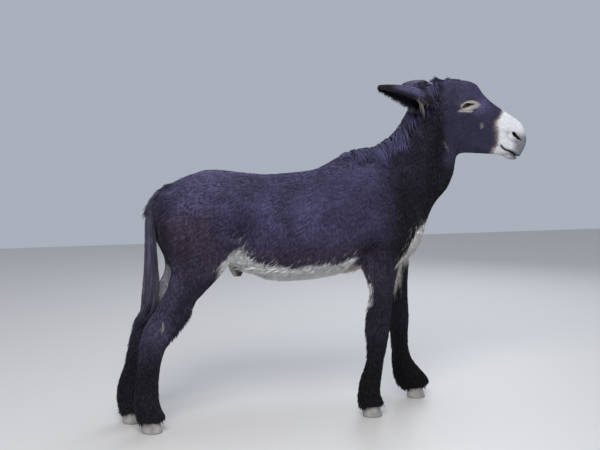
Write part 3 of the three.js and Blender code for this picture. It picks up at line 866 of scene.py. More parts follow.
def body_hair(straight, lift):
    """The trunk's and neck's dark hair: painted blue sky sheen on top and where it faces up, plum on the
    thighs, black in front.
    """
    s, _, up = straight.T
    colour = np.tile(BLACK_WITH_BLUE_SHEEN, (len(s), 1))
    # painted sky sheen on the top of the rump and back
    colour = paint(colour, smooth(up, 1.16, 1.34) * (1 - smooth(s, -0.30, 0.10)) * 0.9, SKY_SHEEN_TOP)
    # painted sky sheen where the hair faces up
    colour = paint(colour, smooth(lift, 0.35, 0.95) * (1 - is_head(straight)) * 0.25, SKY_SHEEN_TOP)
    thigh = smooth(-s, 0.24, 0.36) * (1 - smooth(up, 1.02, 1.20))
    colour = paint(colour, thigh * 0.85, PLUM)
    low_side = (1 - smooth(up, 0.86, 1.02)) * (1 - thigh)
    colour = paint(colour, low_side * 0.7, PLUM * 0.9)
    front = smooth(s, 0.46, 0.66) * (1 - is_head(straight))
    colour = paint(colour, front * 0.87, BROWN_BLACK)
    colour = paint(colour, front * smooth(-up, -1.30, -0.95) * 0.6, BLACK)
    throat = front * smooth(s - (up - 1.20) * 0.35, 0.74, 0.84)
    return paint(colour, throat * 0.7, BLACK)


def past_line(straight, at, lean, low, high):
    """1 in front of a leaning line on the hind legs, which the left one has further back."""
    s, left, up = straight.T
    stepped = s + HIND_STEP * (left > 0)
    return smooth(stepped - (at[0] + lean * (up - at[1])), low, high)


def leg_hair(colour, straight):
    """Black legs: violet on the hocks and faintly on the knees, less so on their insides, which is painted
    shade; darker in front and at the feet, with painted shade on the far left forelegs.
    """
    s, left, up = straight.T
    colour = paint(colour, is_leg(straight) * 0.92, BLACK)
    # less violet on the legs' insides: painted shade between the legs
    outer = 0.30 + 0.70 * smooth(np.abs(left), 0.070, 0.115)
    hock = smooth(-s, 0.30, 0.42) * smooth(-up, -0.90, -0.74) * smooth(up, 0.30, 0.54) * outer
    colour = paint(colour, hock * 0.85, VIOLET_LEG)
    shin = past_line(straight, (-0.479, 0.737), 0.332, -0.010, 0.024) * smooth(-s, 0.25, 0.33)
    shin *= smooth(-up, -0.82, -0.76) * smooth(up, 0.40, 0.46)
    colour = colour * (1 - 0.48 * shin)[:, None]
    mark = smooth(bell(straight, (-0.570, 0.545), (0.007, 0.016)), 0.25, 0.65) * (left < 0)
    colour = paint(colour, mark, CREAM * 0.5)
    knee = smooth(s, 0.30, 0.42) * smooth(-up, -0.90, -0.72) * smooth(up, 0.34, 0.50) * outer
    colour = paint(colour, knee * 0.18, VIOLET_LEG)
    fore = smooth(s, 0.2, 0.3)
    colour = colour * (1 - 0.40 * fore * smooth(-up, -0.34, -0.20))[:, None]
    # painted shade on the left forelegs, the far ones
    return colour * (1 - 0.30 * fore * smooth(left, 0.0, 0.03) * is_leg(straight))[:, None]


def head_hair(colour, straight, lift):
    """The head's dark hair, with painted sky sheen on the upward-facing forehead and a painted bluish
    highlight in front of the eye.
    """
    head = is_head(straight)
    colour = paint(colour, head * 0.9, BLACK_WITH_BLUE_SHEEN * (0.54, 0.57, 0.53))
    # painted sky sheen on the forehead where it faces up
    colour = paint(colour, head * smooth(lift, 0.1, 0.8) * smooth(straight[:, 2], 1.58, 1.66) * 0.7,
                   BLACK_WITH_BLUE_SHEEN * 0.92)
    # a painted bluish highlight in front of the eye
    return paint(colour, head * bell(straight, (1.108, 1.600), (0.042, 0.046)) * 0.8, BLACK_WITH_BLUE_SHEEN * 1.9)


def blotches_and_painted_light(straight):
    """How much lighter or darker each place is than its marking: random blotches of tone, with the painted
    highlights and painted shade of the table above.
    """
    blotch = value_noise(straight, 0.13, 0) * 0.24 + value_noise(straight, 0.045, 1) * 0.16
    blotch += sum(amount * bell(straight, middle, size) for middle, size, amount in TONE_AND_PAINTED_LIGHT)
    return np.maximum(blotch, -0.7)


def white_belly(colour, straight, wander):
    """The belly, and the skin between the hind legs."""
    s, left, up = straight.T
    border = edge_at(BELLY_EDGE, s) + wander * 0.7
    trunk_part = smooth(s, -0.305, -0.270) * (1 - smooth(s, 0.400, 0.425)) * smooth(up, 0.55, 0.62)
    inner = np.where(s < -0.15, smooth(-np.abs(left), -0.215, -0.16), 1.0)
    colour = paint(colour, smooth(border - up, -0.006, 0.010) * trunk_part * inner, WHITE * 0.98)
    between_legs = smooth(-np.abs(left), -0.075, -0.040) * smooth(up, 0.60, 0.68) * smooth(-s, 0.20, 0.28)
    between_legs *= 1 - smooth(up - 0.25 * np.clip(s + 0.40, -0.20, 0.10), 0.805, 0.845)
    return paint(colour, between_legs, WHITE * 0.8)


def white_breast(colour, straight, wander):
    """The pale front of the chest, highest in the middle, and the skin under it."""
    s, left, up = straight.T
    crown = 1.015 + 0.045 * (1 - smooth(np.abs(left), 0.0, 0.09))
    crown += value_noise(straight * (1, 1, 0.2), 0.022, 0) * 0.020
    breast = smooth(s - edge_at(BREAST_EDGE, up) + wander * 0.5, -0.006, 0.010)
    breast *= 1 - smooth(up + wander, crown - 0.030, crown + 0.005)
    breast *= smooth(up, 0.790, 0.815) * smooth(-np.abs(left), -0.190, -0.170)
    colour = paint(colour, breast, CREAM * (1.15, 1.20, 1.28))
    underneath = smooth(s, 0.400, 0.440) * smooth(-np.abs(left), -0.085, -0.045)
    return paint(colour, underneath * (1 - smooth(up, 0.84, 0.90)), CREAM * 1.1)


def white_legs(colour, straight, wander):
    """The insides of the forearms, the strip behind the right one, and the left thigh's inside."""
    s, left, up = straight.T
    inner_fore = smooth(s, 0.400, 0.420) * smooth(-np.abs(left), -0.124, -0.104)
    inner_fore *= 1 - smooth(up, 0.86, 0.92)
    taper = (0.9 * np.abs(s - 0.465) + 0.085) * (left < 0)
    in_front = smooth(s, 0.725, 0.745) * (1 - smooth(up, 0.75, 0.80))
    inner_fore *= smooth(up + wander - taper, 0.57, 0.67) * (1 - in_front)
    streaks = smooth(value_noise(straight * (1, 1, 0.12), 0.016, 2), -0.5, 0.3)
    solid = smooth(up, 0.62, 0.72)
    colour = paint(colour, inner_fore * (solid + (1 - solid) * streaks), CREAM * 1.15)
    behind_leg = smooth(0.14 * (0.70 - up) - s, -0.500, -0.486) * smooth(s, 0.400, 0.430) * (left < 0)
    behind_leg *= smooth(up + wander * 0.3, 0.600, 0.616) * (1 - smooth(up + wander * 0.3, 0.700, 0.720))
    colour = paint(colour, behind_leg, WHITE)
    inner_thigh = smooth(-s, 0.36, 0.42) * smooth(left, 0.0, 0.02) * smooth(-left, -0.115, -0.085)
    inner_thigh *= smooth(up, 0.62, 0.68) * (1 - smooth(up + wander * 0.5, 0.815, 0.835))
    return paint(colour, inner_thigh, WHITE * (0.62, 0.60, 0.70))


def muzzle_marks(colour, straight, wander):
    """The white muzzle with its tan border, and grey painted shade towards the nostrils, in the fold beside
    them and round the lips.
    """
    s, _, up = straight.T
    head = is_head(straight)
    past = s - edge_at(MUZZLE_EDGE, up) + wander * 0.6
    nose = smooth(past, -0.004, 0.012) * head
    colour = paint(colour, nose, WHITE * (1.07, 1.08, 1.12))
    colour = paint(colour, hump(past, 0.002, 0.010) * head * 0.65, TAN)
    # grey painted shade round the nostrils, in their fold and the wrinkle before them, and round the mouth
    grey = smooth(s, 1.260, 1.314) * smooth(-up, -1.476, -1.434)
    grey += bell(straight, (1.266, 1.468), (0.042, 0.011)) * 0.38
    grey += crease(straight, NOSTRIL_FOLD, 0.007) * 0.35
    grey += bell(straight, (1.262, 1.352), (0.032, 0.012)) * 0.7 + crease(straight, MOUTH, 0.009) * 0.6
    colour = paint(colour, np.minimum(grey, 1) * nose * 0.92, MUZZLE_PAINTED_SHADE * 0.95)
    lips = crease(straight, MOUTH, 0.011) * smooth(s, 1.245, 1.285)
    return paint(colour, lips * nose * 0.8, SKIN_DARK * 2.2)


def face_marks(colour, straight, wander):
    """The pale rings of the eyes, the spots on the cheeks, and a painted highlight along the edge of the jaw.
    """
    head, aside = is_head(straight), np.abs(straight[:, 1])
    ring = (1 - smooth(eye_reach(straight) + wander * 0.35, 0.020, 0.029)) * head
    colour = paint(colour, ring, CREAM * 0.92)
    ahead_of_eye = smooth(from_eyes(straight, lambda u, v: u), 0.010, 0.030)
    colour = paint(colour, ring * ahead_of_eye * 0.7, PINK_GREY)
    below_eye = crease(straight, LOWER_LID_STREAK, 0.0055) * head * smooth(aside, 0.05, 0.07)
    colour = paint(colour, below_eye * 0.8, CREAM)
    spot = bell(straight, (1.111, 1.503), (0.009, 0.017)) * smooth(aside, 0.04, 0.06)
    colour = paint(colour, smooth(spot, 0.2, 0.7) * head, CREAM * 0.45)
    # a painted highlight along the edge of the jaw
    return paint(colour, crease(straight, JAW_EDGE_HIGHLIGHT, 0.0042) * 0.75 * smooth(aside, 0.03, 0.05), CREAM * 0.6)


def ear_marks(colour, straight):
    """Ears grey with a painted blue sheen, black tips and edges, and painted shade inside."""
    ear, t, edge, inside = is_ear(straight)
    colour = paint(colour, ear, EAR_GREY_WITH_SHEEN)
    colour = paint(colour, ear * smooth(t, 2.7, 3.3), BLACK * 0.8)
    colour = paint(colour, ear * smooth(edge, 0.72, 0.95) * 0.85, BLACK)
    # painted shade inside the ears
    return paint(colour, ear * inside * 0.8, BROWN_BLACK * 0.9)


def hair_colour(straight, facing_up=None):
    """The markings, the same for the skin and for every tuft, with painted sheen, highlights and shade;
    facing_up, the upward share of the surface's way out, places the sky sheen.
    """
    lift = np.zeros(len(straight)) if facing_up is None else facing_up
    wander = ragged(straight, 0.06, 0.016)
    colour = leg_hair(body_hair(straight, lift), straight)
    colour = head_hair(colour, straight, lift) * (1 + blotches_and_painted_light(straight))[:, None]
    for marks in (white_belly, white_breast, white_legs, muzzle_marks, face_marks):
        colour = marks(colour, straight, wander)
    return np.clip(ear_marks(colour, straight), DARKEST, LIGHTEST)


# ---------------------------------------------------------------- the lie of the coat

def lie_of_coat(straight):
    """The way the hair points, before it is laid along the skin."""
    s, _, up = straight.T
    head = is_head(straight)
    way = np.tile((-0.60, 0.0, -0.95), (len(s), 1))
    for mask, to in (
        (smooth(up, 1.10, 1.26) * (1 - smooth(s, 0.40, 0.60)), (-1, 0, -0.45)),     # back
        (smooth(-s, 0.16, 0.40) * smooth(up, 1.00, 1.10), (-0.85, 0, -0.75)),       # croup
        (smooth(-s, 0.40, 0.52), (-0.45, 0, -1)),                                   # buttocks
        (smooth(-s, 0.20, 0.30) * (1 - smooth(up, 0.92, 1.04)), (-0.55, 0, -1)),    # thighs
        (smooth(s, 0.45, 0.70), (-0.50, 0, -1)),                                    # shoulders and neck
        (smooth(-up, -0.80, -0.68), (-0.16, 0, -1)),                                # legs
        (is_belly(straight), (-1, 0, -0.25)),
        (head, (-1, 0, -0.22)),
        (head * smooth(up, 1.58, 1.68), (-1, 0, 0.10)),                             # forehead
        (is_muzzle(straight), (-0.85, 0, 0.30)),
        (crease(straight, JAW_EDGE_HIGHLIGHT, 0.012), (0.45, 0, -1)),
    ):
        way = paint(way, mask, to)
    swirl = sum(np.stack([value_noise(straight, size, k) for k in range(3)], 1) * amount
                for size, amount in ((0.13, 0.12), (0.030, 0.17)))
    return unit(unit(way) + swirl * (1 - 0.5 * head)[:, None])


# ---------------------------------------------------------------- tufts

class Coat:
    """Collects closed tapered locks and cuts them into pieces."""

    def __init__(self, name, slot, material):
        self.name, self.slot, self.material = name, slot, material
        self.parts = []

    def add(self, line, up, width, thick, colour, place):
        """line and up are (locks, stations, 3), width and thick (locks, stations), place is on the unwrap."""
        count, steps, _ = line.shape
        tangent = unit(np.gradient(line, axis=1))
        across = unit(np.cross(tangent, up))
        up = np.cross(across, tangent)
        half = (across * (width / 2)[..., None])[:, :-1]
        ridge = (up * thick[..., None])[:, :-1]
        middle = line[:, :-1]
        rings = np.stack([middle + half, middle + ridge, middle - half], 2).reshape(count, -1, 3)
        points = np.concatenate([rings, line[:, -1:]], 1)
        tip = points.shape[1] - 1
        faces = [(0, 2, 1)] + tube_walls(steps - 1, 3)
        faces += [(tip - 3 + i, tip - 3 + (i + 1) % 3, tip) for i in range(3)]
        share = np.append(np.repeat(np.linspace(0, 1, steps)[:-1], 3), 1)
        beside = np.append(np.tile((0.5, 0.08, -0.5), steps - 1), 0) * (1 - 0.6 * share)
        off_line = np.append(np.tile((0, 0.16, 0.03), steps - 1), 0)
        patch = np.stack([beside, share - 0.5 + off_line], 1)
        shades = colour[:, None] * (1 + PALE_TIP * share)[None, :, None]
        uv = place[:, None] + patch[None] * PATCH
        self.parts.append((points, np.array(faces), np.clip(shades, 0, 0.95), uv))

    def locks(self, line, up, width, waist, colour, roots):
        """Longer locks, as wide as waist says at the TAPER_AT shares of their length."""
        widths = width[:, None] * np.interp(np.linspace(0, 1, line.shape[1]), TAPER_AT, waist)[None]
        self.add(line, up, widths, widths * LOCK_THICKNESS, colour, unwrap(roots))

    def build(self, *replaced):
        """Makes the pieces. The first stands for the replaced nodes."""
        groups, total = [], PIECE_TRIANGLES
        for points, faces, colours, uvs in self.parts:
            room = PIECE_TRIANGLES // len(faces)
            for start in range(0, len(points), room):
                some = slice(start, start + room)
                size = len(points[some]) * len(faces)
                if total + size > PIECE_TRIANGLES:
                    groups.append([])
                    total = 0
                groups[-1].append((points[some], faces, colours[some], uvs[some]))
                total += size
        for number, group in enumerate(groups, 1):
            self.make_piece(f"{self.name}_{number}", group, replaced if number == 1 else ())

    def make_piece(self, name, group, replaced):
        faces, first = [], 0
        for points, one, _, _ in group:
            count, each = points.shape[:2]
            faces.append((one[None] + (first + np.arange(count) * each)[:, None, None]).reshape(-1, 3))
            first += count * each
        faces = np.concatenate(faces)
        points, colours, uvs = (np.concatenate([part[k].reshape(-1, part[k].shape[2]) for part in group])
                                for k in (0, 2, 3))
        piece = make_object(name, points, faces)
        dress(piece, self.slot, self.material, "Hair", colours, *replaced)
        layer = piece.data.uv_layers.new(name="OFBake")
        layer.uv.foreach_set("vector", uvs[faces.ravel()].astype(np.float32).ravel())


def unwrap(straight):
    """A place on the flattened skin: the body's tube above, the four legs below."""
    s, left, up = straight.T
    middle = np.interp(s, (-0.6, 0.4, 0.8, 1.0, 1.35), (1.06, 1.06, 1.30, 1.50, 1.42))
    turn = np.arctan2(left, up - middle) / (2 * math.pi) + 0.5
    place = np.stack([0.01 + 0.98 * (s + 0.70) / 2.1, 0.42 + 0.56 * turn], 1)
    leg = up < 0.74
    hind = s < 0.0
    centre = np.where(hind, -0.50 - 0.28 * (0.9 - up) / 0.9 * 0.5, np.where(left > 0, 0.80, 0.54))
    out = np.abs(left) - 0.115
    angle = np.arctan2(out, s - centre) / (2 * math.pi) + 0.5
    column = np.where(hind, 0, 2) + (left > 0)
    on_leg = np.stack([0.01 + 0.24 * (column + angle), 0.01 + 0.38 * np.clip(up / 0.74, 0, 1)], 1)
    belly = is_belly(straight) > 0.5
    return np.clip(np.where((leg & ~belly)[:, None], on_leg, place), 0.005, 0.995)


class Ground:
    """The skin, for finding the place and the outward way at or near a point."""

    def __init__(self, piece):
        mesh = piece.data
        self.points, self.normals = points_of(mesh), normals_of(mesh)
        self.triangles = triangles_of(mesh)
        a, b, c = (self.points[self.triangles[:, k]] for k in range(3))
        self.areas = np.linalg.norm(np.cross(b - a, c - a), axis=1) / 2
        self.middles = to_straight((a + b + c) / 3)
        self.tree = BVHTree.FromPolygons(self.points.tolist(), self.triangles.tolist())

    def sow(self, density):
        """Random roots, density per square metre given at each triangle's middle."""
        wanted = self.areas * density * TUFT_SHARE
        count = int(wanted.sum())
        chosen = rng.choice(len(wanted), count, p=wanted / wanted.sum())
        share = rng.random((count, 2))
        share = np.where(share.sum(1, keepdims=True) > 1, 1 - share, share)
        corners = self.triangles[chosen]
        weights = np.stack([1 - share.sum(1), share[:, 0], share[:, 1]], 1)[..., None]
        return (self.points[corners] * weights).sum(1), unit((self.normals[corners] * weights).sum(1))

    def choose(self, wanted, where):
        """About the wanted number of roots, where a mask of the straight points is set."""
        mask = where(self.middles)
        roots, normals = self.sow(mask * wanted / max((self.areas * mask).sum(), 1e-9))
        return roots, normals, to_straight(roots), len(roots)

    def drop(self, points, reach=0.05):
        """The nearest places on the skin, and the outward way there."""
        out, ways = points.copy(), np.zeros_like(points)
        for i, p in enumerate(points.tolist()):
            hit, way, _, _ = self.tree.find_nearest(p, reach)
            if hit is not None:
                out[i], ways[i] = hit, way
        return out, ways


def lay_locks(ground, roots, normals, way, length, lift, rise, sink, pull=(0, 0, 0), least_turn=0.3):
    """Lock middles that follow the skin from their roots, standing off it by lift times rise.

    At every station the way is drawn aside by pull. A station where the skin turns so sharply
    that the cosine is under least_turn keeps the last outward way.
    """
    steps = len(rise)
    line = np.empty((len(roots), steps, 3))
    ups = np.empty_like(line)
    line[:, 0], ups[:, 0] = roots - normals * sink, normals
    at, up = roots.copy(), normals
    for k in range(1, steps):
        at, found = ground.drop(at + way * (length / (steps - 1))[:, None])
        miss = (np.abs(found).sum(1) < 0.5) | ((found * up).sum(1) < least_turn)
        up = np.where(miss[:, None], up, found)
        way = flatten(unit(way + np.array(pull)), up)
        line[:, k], ups[:, k] = at + up * (lift * rise[k])[:, None], up
    return line, ups


def zones(straight):
    return is_head(straight), is_muzzle(straight), is_leg(straight), is_ear(straight)[0]


def short_coat(ground, coat):
    """The flat coat over the whole skin: (length, width) of its tufts for each zone."""
    head, muzzle, leg, ear = zones(ground.middles)
    by_lids = (1 - smooth(from_eyes(ground.middles, np.hypot), 0.030, 0.050)) * head
    density = 19_000 + 4_000 * leg + 33_000 * head + 50_000 * muzzle + 14_000 * ear + 50_000 * by_lids
    roots, normals = ground.sow(density)
    straight = to_straight(roots)
    keep = ~bare(straight) & (straight[:, 2] > 0.05)
    roots, normals, straight = roots[keep], normals[keep], straight[keep]
    count = len(roots)
    head, muzzle, leg, ear = zones(straight)
    by_lids = (1 - smooth(from_eyes(straight, np.hypot), 0.030, 0.055)) * head
    length = np.minimum(0.036 - 0.004 * leg, np.maximum(straight[:, 2] - HAIR_LINE, 0.009))
    width = np.full(count, 0.0056)
    for mask, long, wide in ((head, 0.016, 0.0032), (muzzle, 0.0085, 0.0024),
                             (by_lids, 0.0065, 0.0018), (ear, 0.018, 0.0040)):
        length += (long - length) * mask
        width += (wide - width) * mask
    length, width = length * rng.uniform(0.7, 1.35, count), width * rng.uniform(0.75, 1.25, count)
    lift = length * (0.035 + 0.065 * rng.random(count)) * (1 + 0.8 * leg) * (1 - 0.35 * head)
    way = flatten(turn_vectors(ear_lie(straight, lie_of_coat(straight)), straight), normals)
    span = np.linspace(0, 1, 3)
    line, ups = lay_locks(ground, roots, normals, way, length, lift, span ** RISE, 0.0012)
    widths = width[:, None] * np.interp(span, (0, 0.45, 1), (0.55, 1.0, 0.1))[None]
    thick = width[:, None] * np.interp(span, (0, 0.45, 1), (0.20, 0.20, 0.1))[None]
    tint = 1 + 0.16 * (rng.random(count) - 0.5) + 0.16 * value_noise(straight, 0.018, 2)
    coat.add(line, ups, widths, thick, hair_colour(straight, normals[:, 2]) * tint[:, None], unwrap(straight))


def ear_lie(straight, way):
    """On the ears the hair points along them."""
    places = ear_places(straight)
    for name, ear in EARS.items():
        last = len(ear["line"]) - 1
        tangent = ear_frame(ear, np.linspace(0, last, EAR_STEPS + 1))[3]
        t, reach, _ = places[name]
        index = np.clip((t / last * EAR_STEPS).round().astype(int), 0, EAR_STEPS)
        blend = (smooth(t, 0.7, 1.4) * ((reach < EAR_REACH) & (t > 0.7)))[:, None]
        way = way * (1 - blend) + tangent[index] * blend
    return unit(way)


def bare(straight):
    """Where no hair grows: the eye's opening and lid rims, the nostrils and the lips' edges."""
    none = np.zeros(len(straight), bool)
    for side in (-1, 1):
        u, v, w = eye_place(straight, side)
        low, high = lid_edges(u)
        none |= (w > 0) & (np.abs(u - 0.008) < 0.040) & (v > low - 0.0022) & (v < high + 0.0022)
    none |= (nostril_place(straight) < 1.15) & (np.abs(straight[:, 1]) > 0.018)
    near = line_distance(straight, MOUTH)
    return none | ((near < 0.0055) & (straight[:, 0] > 1.215))


# ---------------------------------------------------------------- long hair

def locks_on_skin(ground, coat, roots, normals, way, length, width, lift, colour):
    """Longer locks that follow the skin and rise from it towards their tips."""
    straight = to_straight(roots)
    way = flatten(turn_vectors(way, straight), normals)
    line, ups = lay_locks(ground, roots, normals, way, length, lift, np.linspace(0, 1, 4) ** RISE, 0.002)
    coat.locks(line, ups, width, (0.6, 1.0, 0.8, 0.1), colour, straight)


def grow_belly(ground, coat):
    """The long fringe under the belly."""
    roots, normals, straight, count = ground.choose(5200, is_belly)
    way = np.tile((-1.0, 0.0, -0.3), (count, 1)) + rng.normal(0, 0.22, (count, 3))
    length = 0.046 * rng.uniform(0.7, 1.3, count)
    width = 0.0062 * rng.uniform(0.7, 1.3, count)
    lift = 0.024 * rng.uniform(0.5, 1.15, count) * smooth(-normals[:, 2], -0.2, 0.6)
    colour = hair_colour(straight) * (1 + 0.20 * (rng.random(count) - 0.5))[:, None]
    locks_on_skin(ground, coat, roots, normals, way, length, width, lift, colour)


def is_feather(straight):
    """The fetlocks and pasterns, with hair that falls over the hooves."""
    up = straight[:, 2]
    return smooth(-up, -0.30, -0.20) * smooth(up, 0.060, 0.070)


def grow_feathers(ground, coat):
    """Hair on the fetlocks and pasterns, down over the tops of the hooves."""
    roots, normals, straight, count = ground.choose(6200, is_feather)
    low = 1 - smooth(straight[:, 2], 0.06, 0.22)
    rear, front = smooth(-normals[:, 0], 0.0, 0.8), smooth(normals[:, 0], 0.3, 0.9)
    way = np.tile((0.0, 0.0, -1.0), (count, 1)) + rng.normal(0, 0.14, (count, 3))
    way[:, 0] += 0.22 * front - 0.30 * rear
    length = (0.040 + 0.016 * rear + 0.008 * front) * rng.uniform(0.7, 1.25, count)
    end = HAIR_LINE - 0.030 * rear + 0.009 * front
    length = np.minimum(length, np.maximum(straight[:, 2] - end + rng.normal(0, 0.005, count), 0.010))
    width = 0.0058 * rng.uniform(0.7, 1.3, count)
    lift = (0.003 + 0.008 * rear + 0.005 * front * low) * rng.uniform(0.4, 1.2, count) * (0.5 + 0.5 * low)
    colour = hair_colour(straight) * (1 + 0.35 * (rng.random(count) - 0.4))[:, None]
    line, ups = hang(roots, normals, unit(way), length, lift, 4)
    coat.locks(line, ups, width, (0.6, 1.0, 0.8, 0.1), colour, straight)


def hang(roots, normals, way, length, lift, steps):
    """Locks that leave the skin and go straight on, standing off it by lift."""
    share = np.linspace(0, 1, steps)[None, :, None]
    way = flatten(way, normals, 0.9)
    line = roots[:, None] + way[:, None] * (length[:, None, None] * share)
    line = line + normals[:, None] * (lift[:, None, None] * share ** 0.8)
    line[:, 0] -= normals * ROOT_DEPTH
    return line, np.repeat(normals[:, None], steps, 1)


def before_hock(straight):
    """The rough hair on the front of the hind legs, over the hock."""
    s, _, up = straight.T
    front = past_line(straight, (-0.525, 0.52), 0.71, -0.040, -0.012)
    return front * smooth(up, 0.45, 0.52) * smooth(-up, -0.68, -0.60) * (s < -0.3)


def below_elbow(straight):
    """The fringe down the back of the forearm."""
    return bell(straight, (0.470, 0.640), (0.036, 0.062))


def grow_leg_hair(ground, coat):
    """Longer hair on the backs of the legs, at the hocks and under the chest."""
    def where(p):
        legs = is_leg(p) * smooth(p[:, 2], 0.10, 0.20) * (1 + 4 * before_hock(p) + 3 * below_elbow(p))
        breast = smooth(p[:, 0], 0.40, 0.46) * (1 - smooth(p[:, 2], 0.96, 1.06)) * smooth(p[:, 2], 0.66, 0.72)
        return np.maximum(legs, breast * smooth(-np.abs(p[:, 1]), -0.15, -0.08))
    roots, normals, straight, count = ground.choose(7400, where)
    rear = smooth(-normals[:, 0], 0.15, 0.8)
    way = np.tile((-0.22, 0.0, -1.0), (count, 1)) + rng.normal(0, 0.16, (count, 3))
    joint = bell(straight, (0.53, 0.46), (0.12, 0.07)) + bell(straight, (-0.64, 0.45), (0.14, 0.09))
    length = (0.030 + 0.016 * rear + 0.010 * joint) * rng.uniform(0.7, 1.3, count)
    width = 0.0056 * rng.uniform(0.7, 1.3, count)
    rough, fringe = before_hock(straight), below_elbow(straight) * smooth(-normals[:, 0], -0.1, 0.4)
    length += 0.010 * rough + 0.014 * fringe
    lift = 0.0022 + 0.006 * rear + 0.004 * joint + 0.017 * rough + 0.016 * fringe
    lift = lift * rng.uniform(0.3, 1.4, count)
    colour = hair_colour(straight) * (1 + 0.35 * (rng.random(count) - 0.45))[:, None]
    locks_on_skin(ground, coat, roots, normals, way, length, width, lift, colour)


CREST = [(0.340, 1.372), (0.446, 1.382), (0.555, 1.396), (0.590, 1.410), (0.615, 1.430), (0.642, 1.446),
         (0.666, 1.472), (0.697, 1.518), (0.713, 1.561), (0.740, 1.591), (0.838, 1.722), (0.880, 1.748)]


def grow_mane(ground, coat):
    """Locks in clumps along the crest, most falling to the right, drawn down by their weight."""
    count = int(1500 * LOCK_SHARE)
    s = rng.uniform(0.350, 0.872, count)
    across = rng.normal(-0.006, 0.014, count)
    from_top = np.stack([s, across, edge_at(CREST, s) + 0.02], 1)
    roots, normals = ground.drop(to_row(from_top), 0.2)
    fall_left = rng.random(count) < 0.16
    way = np.stack([rng.normal(0.30, 0.16, count), -np.ones(count), np.full(count, -0.55)], 1)
    way[:, 1] *= np.where(fall_left, -0.8, 1)
    length = (0.055 + 0.080 * smooth(s, 0.36, 0.50)) * rng.uniform(0.72, 1.18, count)
    length *= np.where(fall_left, 0.6, 1) * (1 - 0.35 * smooth(s, 0.76, 0.86))
    clump = np.round(s / CLUMP + rng.normal(0, 0.14, count))
    aside = (clump + 0.35 * np.sin(clump * 2.4)) - s / CLUMP
    way[:, 0] += 0.55 * aside
    length *= 1 + 0.22 * np.sin(clump * 5.1) - 0.30 * np.abs(aside)
    width = 0.0054 * rng.uniform(0.7, 1.3, count)
    lift = 0.0115 * rng.uniform(0.15, 1.2, count)
    streak = value_noise(np.stack([clump * 0.3, clump * 0.1, np.zeros(count)], 1), 1.0, 0)
    # Lighter in the middle of each clump and darker at its edges: a painted highlight on the clumps and
    # painted shade between them; the streaks and random share are the locks' own tone.
    shade = 1.50 - 1.15 * np.clip(np.abs(aside) * 1.6, 0, 1)
    shade = shade * (1 + 0.45 * streak + 0.30 * (rng.random(count) - 0.5))
    colour = np.clip(BLACK_WITH_BLUE_SHEEN * (0.55, 0.60, 0.66) * shade[:, None], DARKEST, 1)
    straight = to_straight(roots)
    way = flatten(turn_vectors(way, straight), normals)
    span = np.linspace(0, 1, 7)
    line, ups = lay_locks(ground, roots, normals, way, length, lift, 0.45 + 0.9 * span * (1.25 - span),
                          ROOT_DEPTH, pull=(0.06, 0, -0.50), least_turn=-2)
    coat.locks(line, ups, width, (0.7, 1.0, 0.8, 0.1), colour, straight)


def grow_forelock(ground, coat):
    """Short rough tufts over the poll, leaning back, and forward on the forehead."""
    count = int(420 * LOCK_SHARE)
    s = rng.uniform(0.852, 0.985, count)
    across = rng.normal(0, 0.020, count)
    roots, normals = ground.drop(to_row(np.stack([s, across, np.full(count, 1.80)], 1)), 0.3)
    front = smooth(s, 0.900, 0.935)
    tuft = np.round(s / 0.021 + 0.2 * np.sin(across * 90))
    lean = np.sin(tuft * 2.9)
    aside = np.sign(across) * 0.10 + 0.22 * np.cos(tuft * 4.3) - across * 9
    way = np.stack([(1 - front) * (-0.75 + 0.30 * lean) + front * 0.9 + (tuft * 0.021 - s) * 14,
                    aside + rng.normal(0, 0.08, count),
                    (1 - front) * (0.55 + 0.20 * lean) + rng.normal(0, 0.05, count)], 1)
    length = (0.032 + 0.010 * rng.random(count)) * (1 - 0.20 * front)
    straight = to_straight(roots)
    lift = (0.019 - 0.014 * front) * rng.uniform(0.3, 1.0, count) * (1 + 0.35 * np.sin(tuft * 1.7))
    line, ups = hang(roots, normals, unit(turn_vectors(way, straight)), length, lift, 5)
    width = 0.0044 * rng.uniform(0.7, 1.3, count)
    colour = BLACK_WITH_BLUE_SHEEN * 0.70 * (1 + 0.6 * (rng.random(count) - 0.4))[:, None]
    coat.locks(line, ups, width, (0.7, 1.0, 0.7, 0.1), colour, straight)


# The tail from its dock down: ahead of the front and rear edges, height, half width.
TAIL = ((-0.515, -0.555, 1.196, 0.022), (-0.568, -0.606, 1.146, 0.025), (-0.592, -0.632, 1.053, 0.023),
        (-0.585, -0.637, 0.950, 0.026), (-0.577, -0.642, 0.820, 0.031), (-0.572, -0.652, 0.700, 0.033),
        (-0.592, -0.664, 0.610, 0.027), (-0.648, -0.688, 0.518, 0.010))


def in_tube(rows, t, inward, beside):
    """Points in a tube of (front, rear, height, half width) rows, at places t along it."""
    front, rear, up, half = between(rows, t).T
    return np.stack([(front + rear) / 2 + (front - rear) / 2 * inward, half * beside, up], 1)


def tail_at(t, inward, beside):
    """A point in the tail: share of the way down, share from the front to the rear edge."""
    return in_tube(TAIL, t * (len(TAIL) - 1.001), inward, beside)


def tail_core():
    """The tail's own flesh and bone, under its locks."""
    rings, sides = 30, 14
    t, angle = tube_grid(np.linspace(0.0, 0.93, rings), sides)
    points = to_row(tail_at(t, 0.62 * np.cos(angle), 0.62 * np.sin(angle)))
    points[-sides:] += (points[-sides:].mean(0) - points[-sides:]) * 0.7
    core = closed_tube("tail_core", points, rings, sides)
    dress(core, "long_hair", "hair", "Hair", np.tile(BROWN_BLACK * 0.7, (len(points), 1)), "tail")


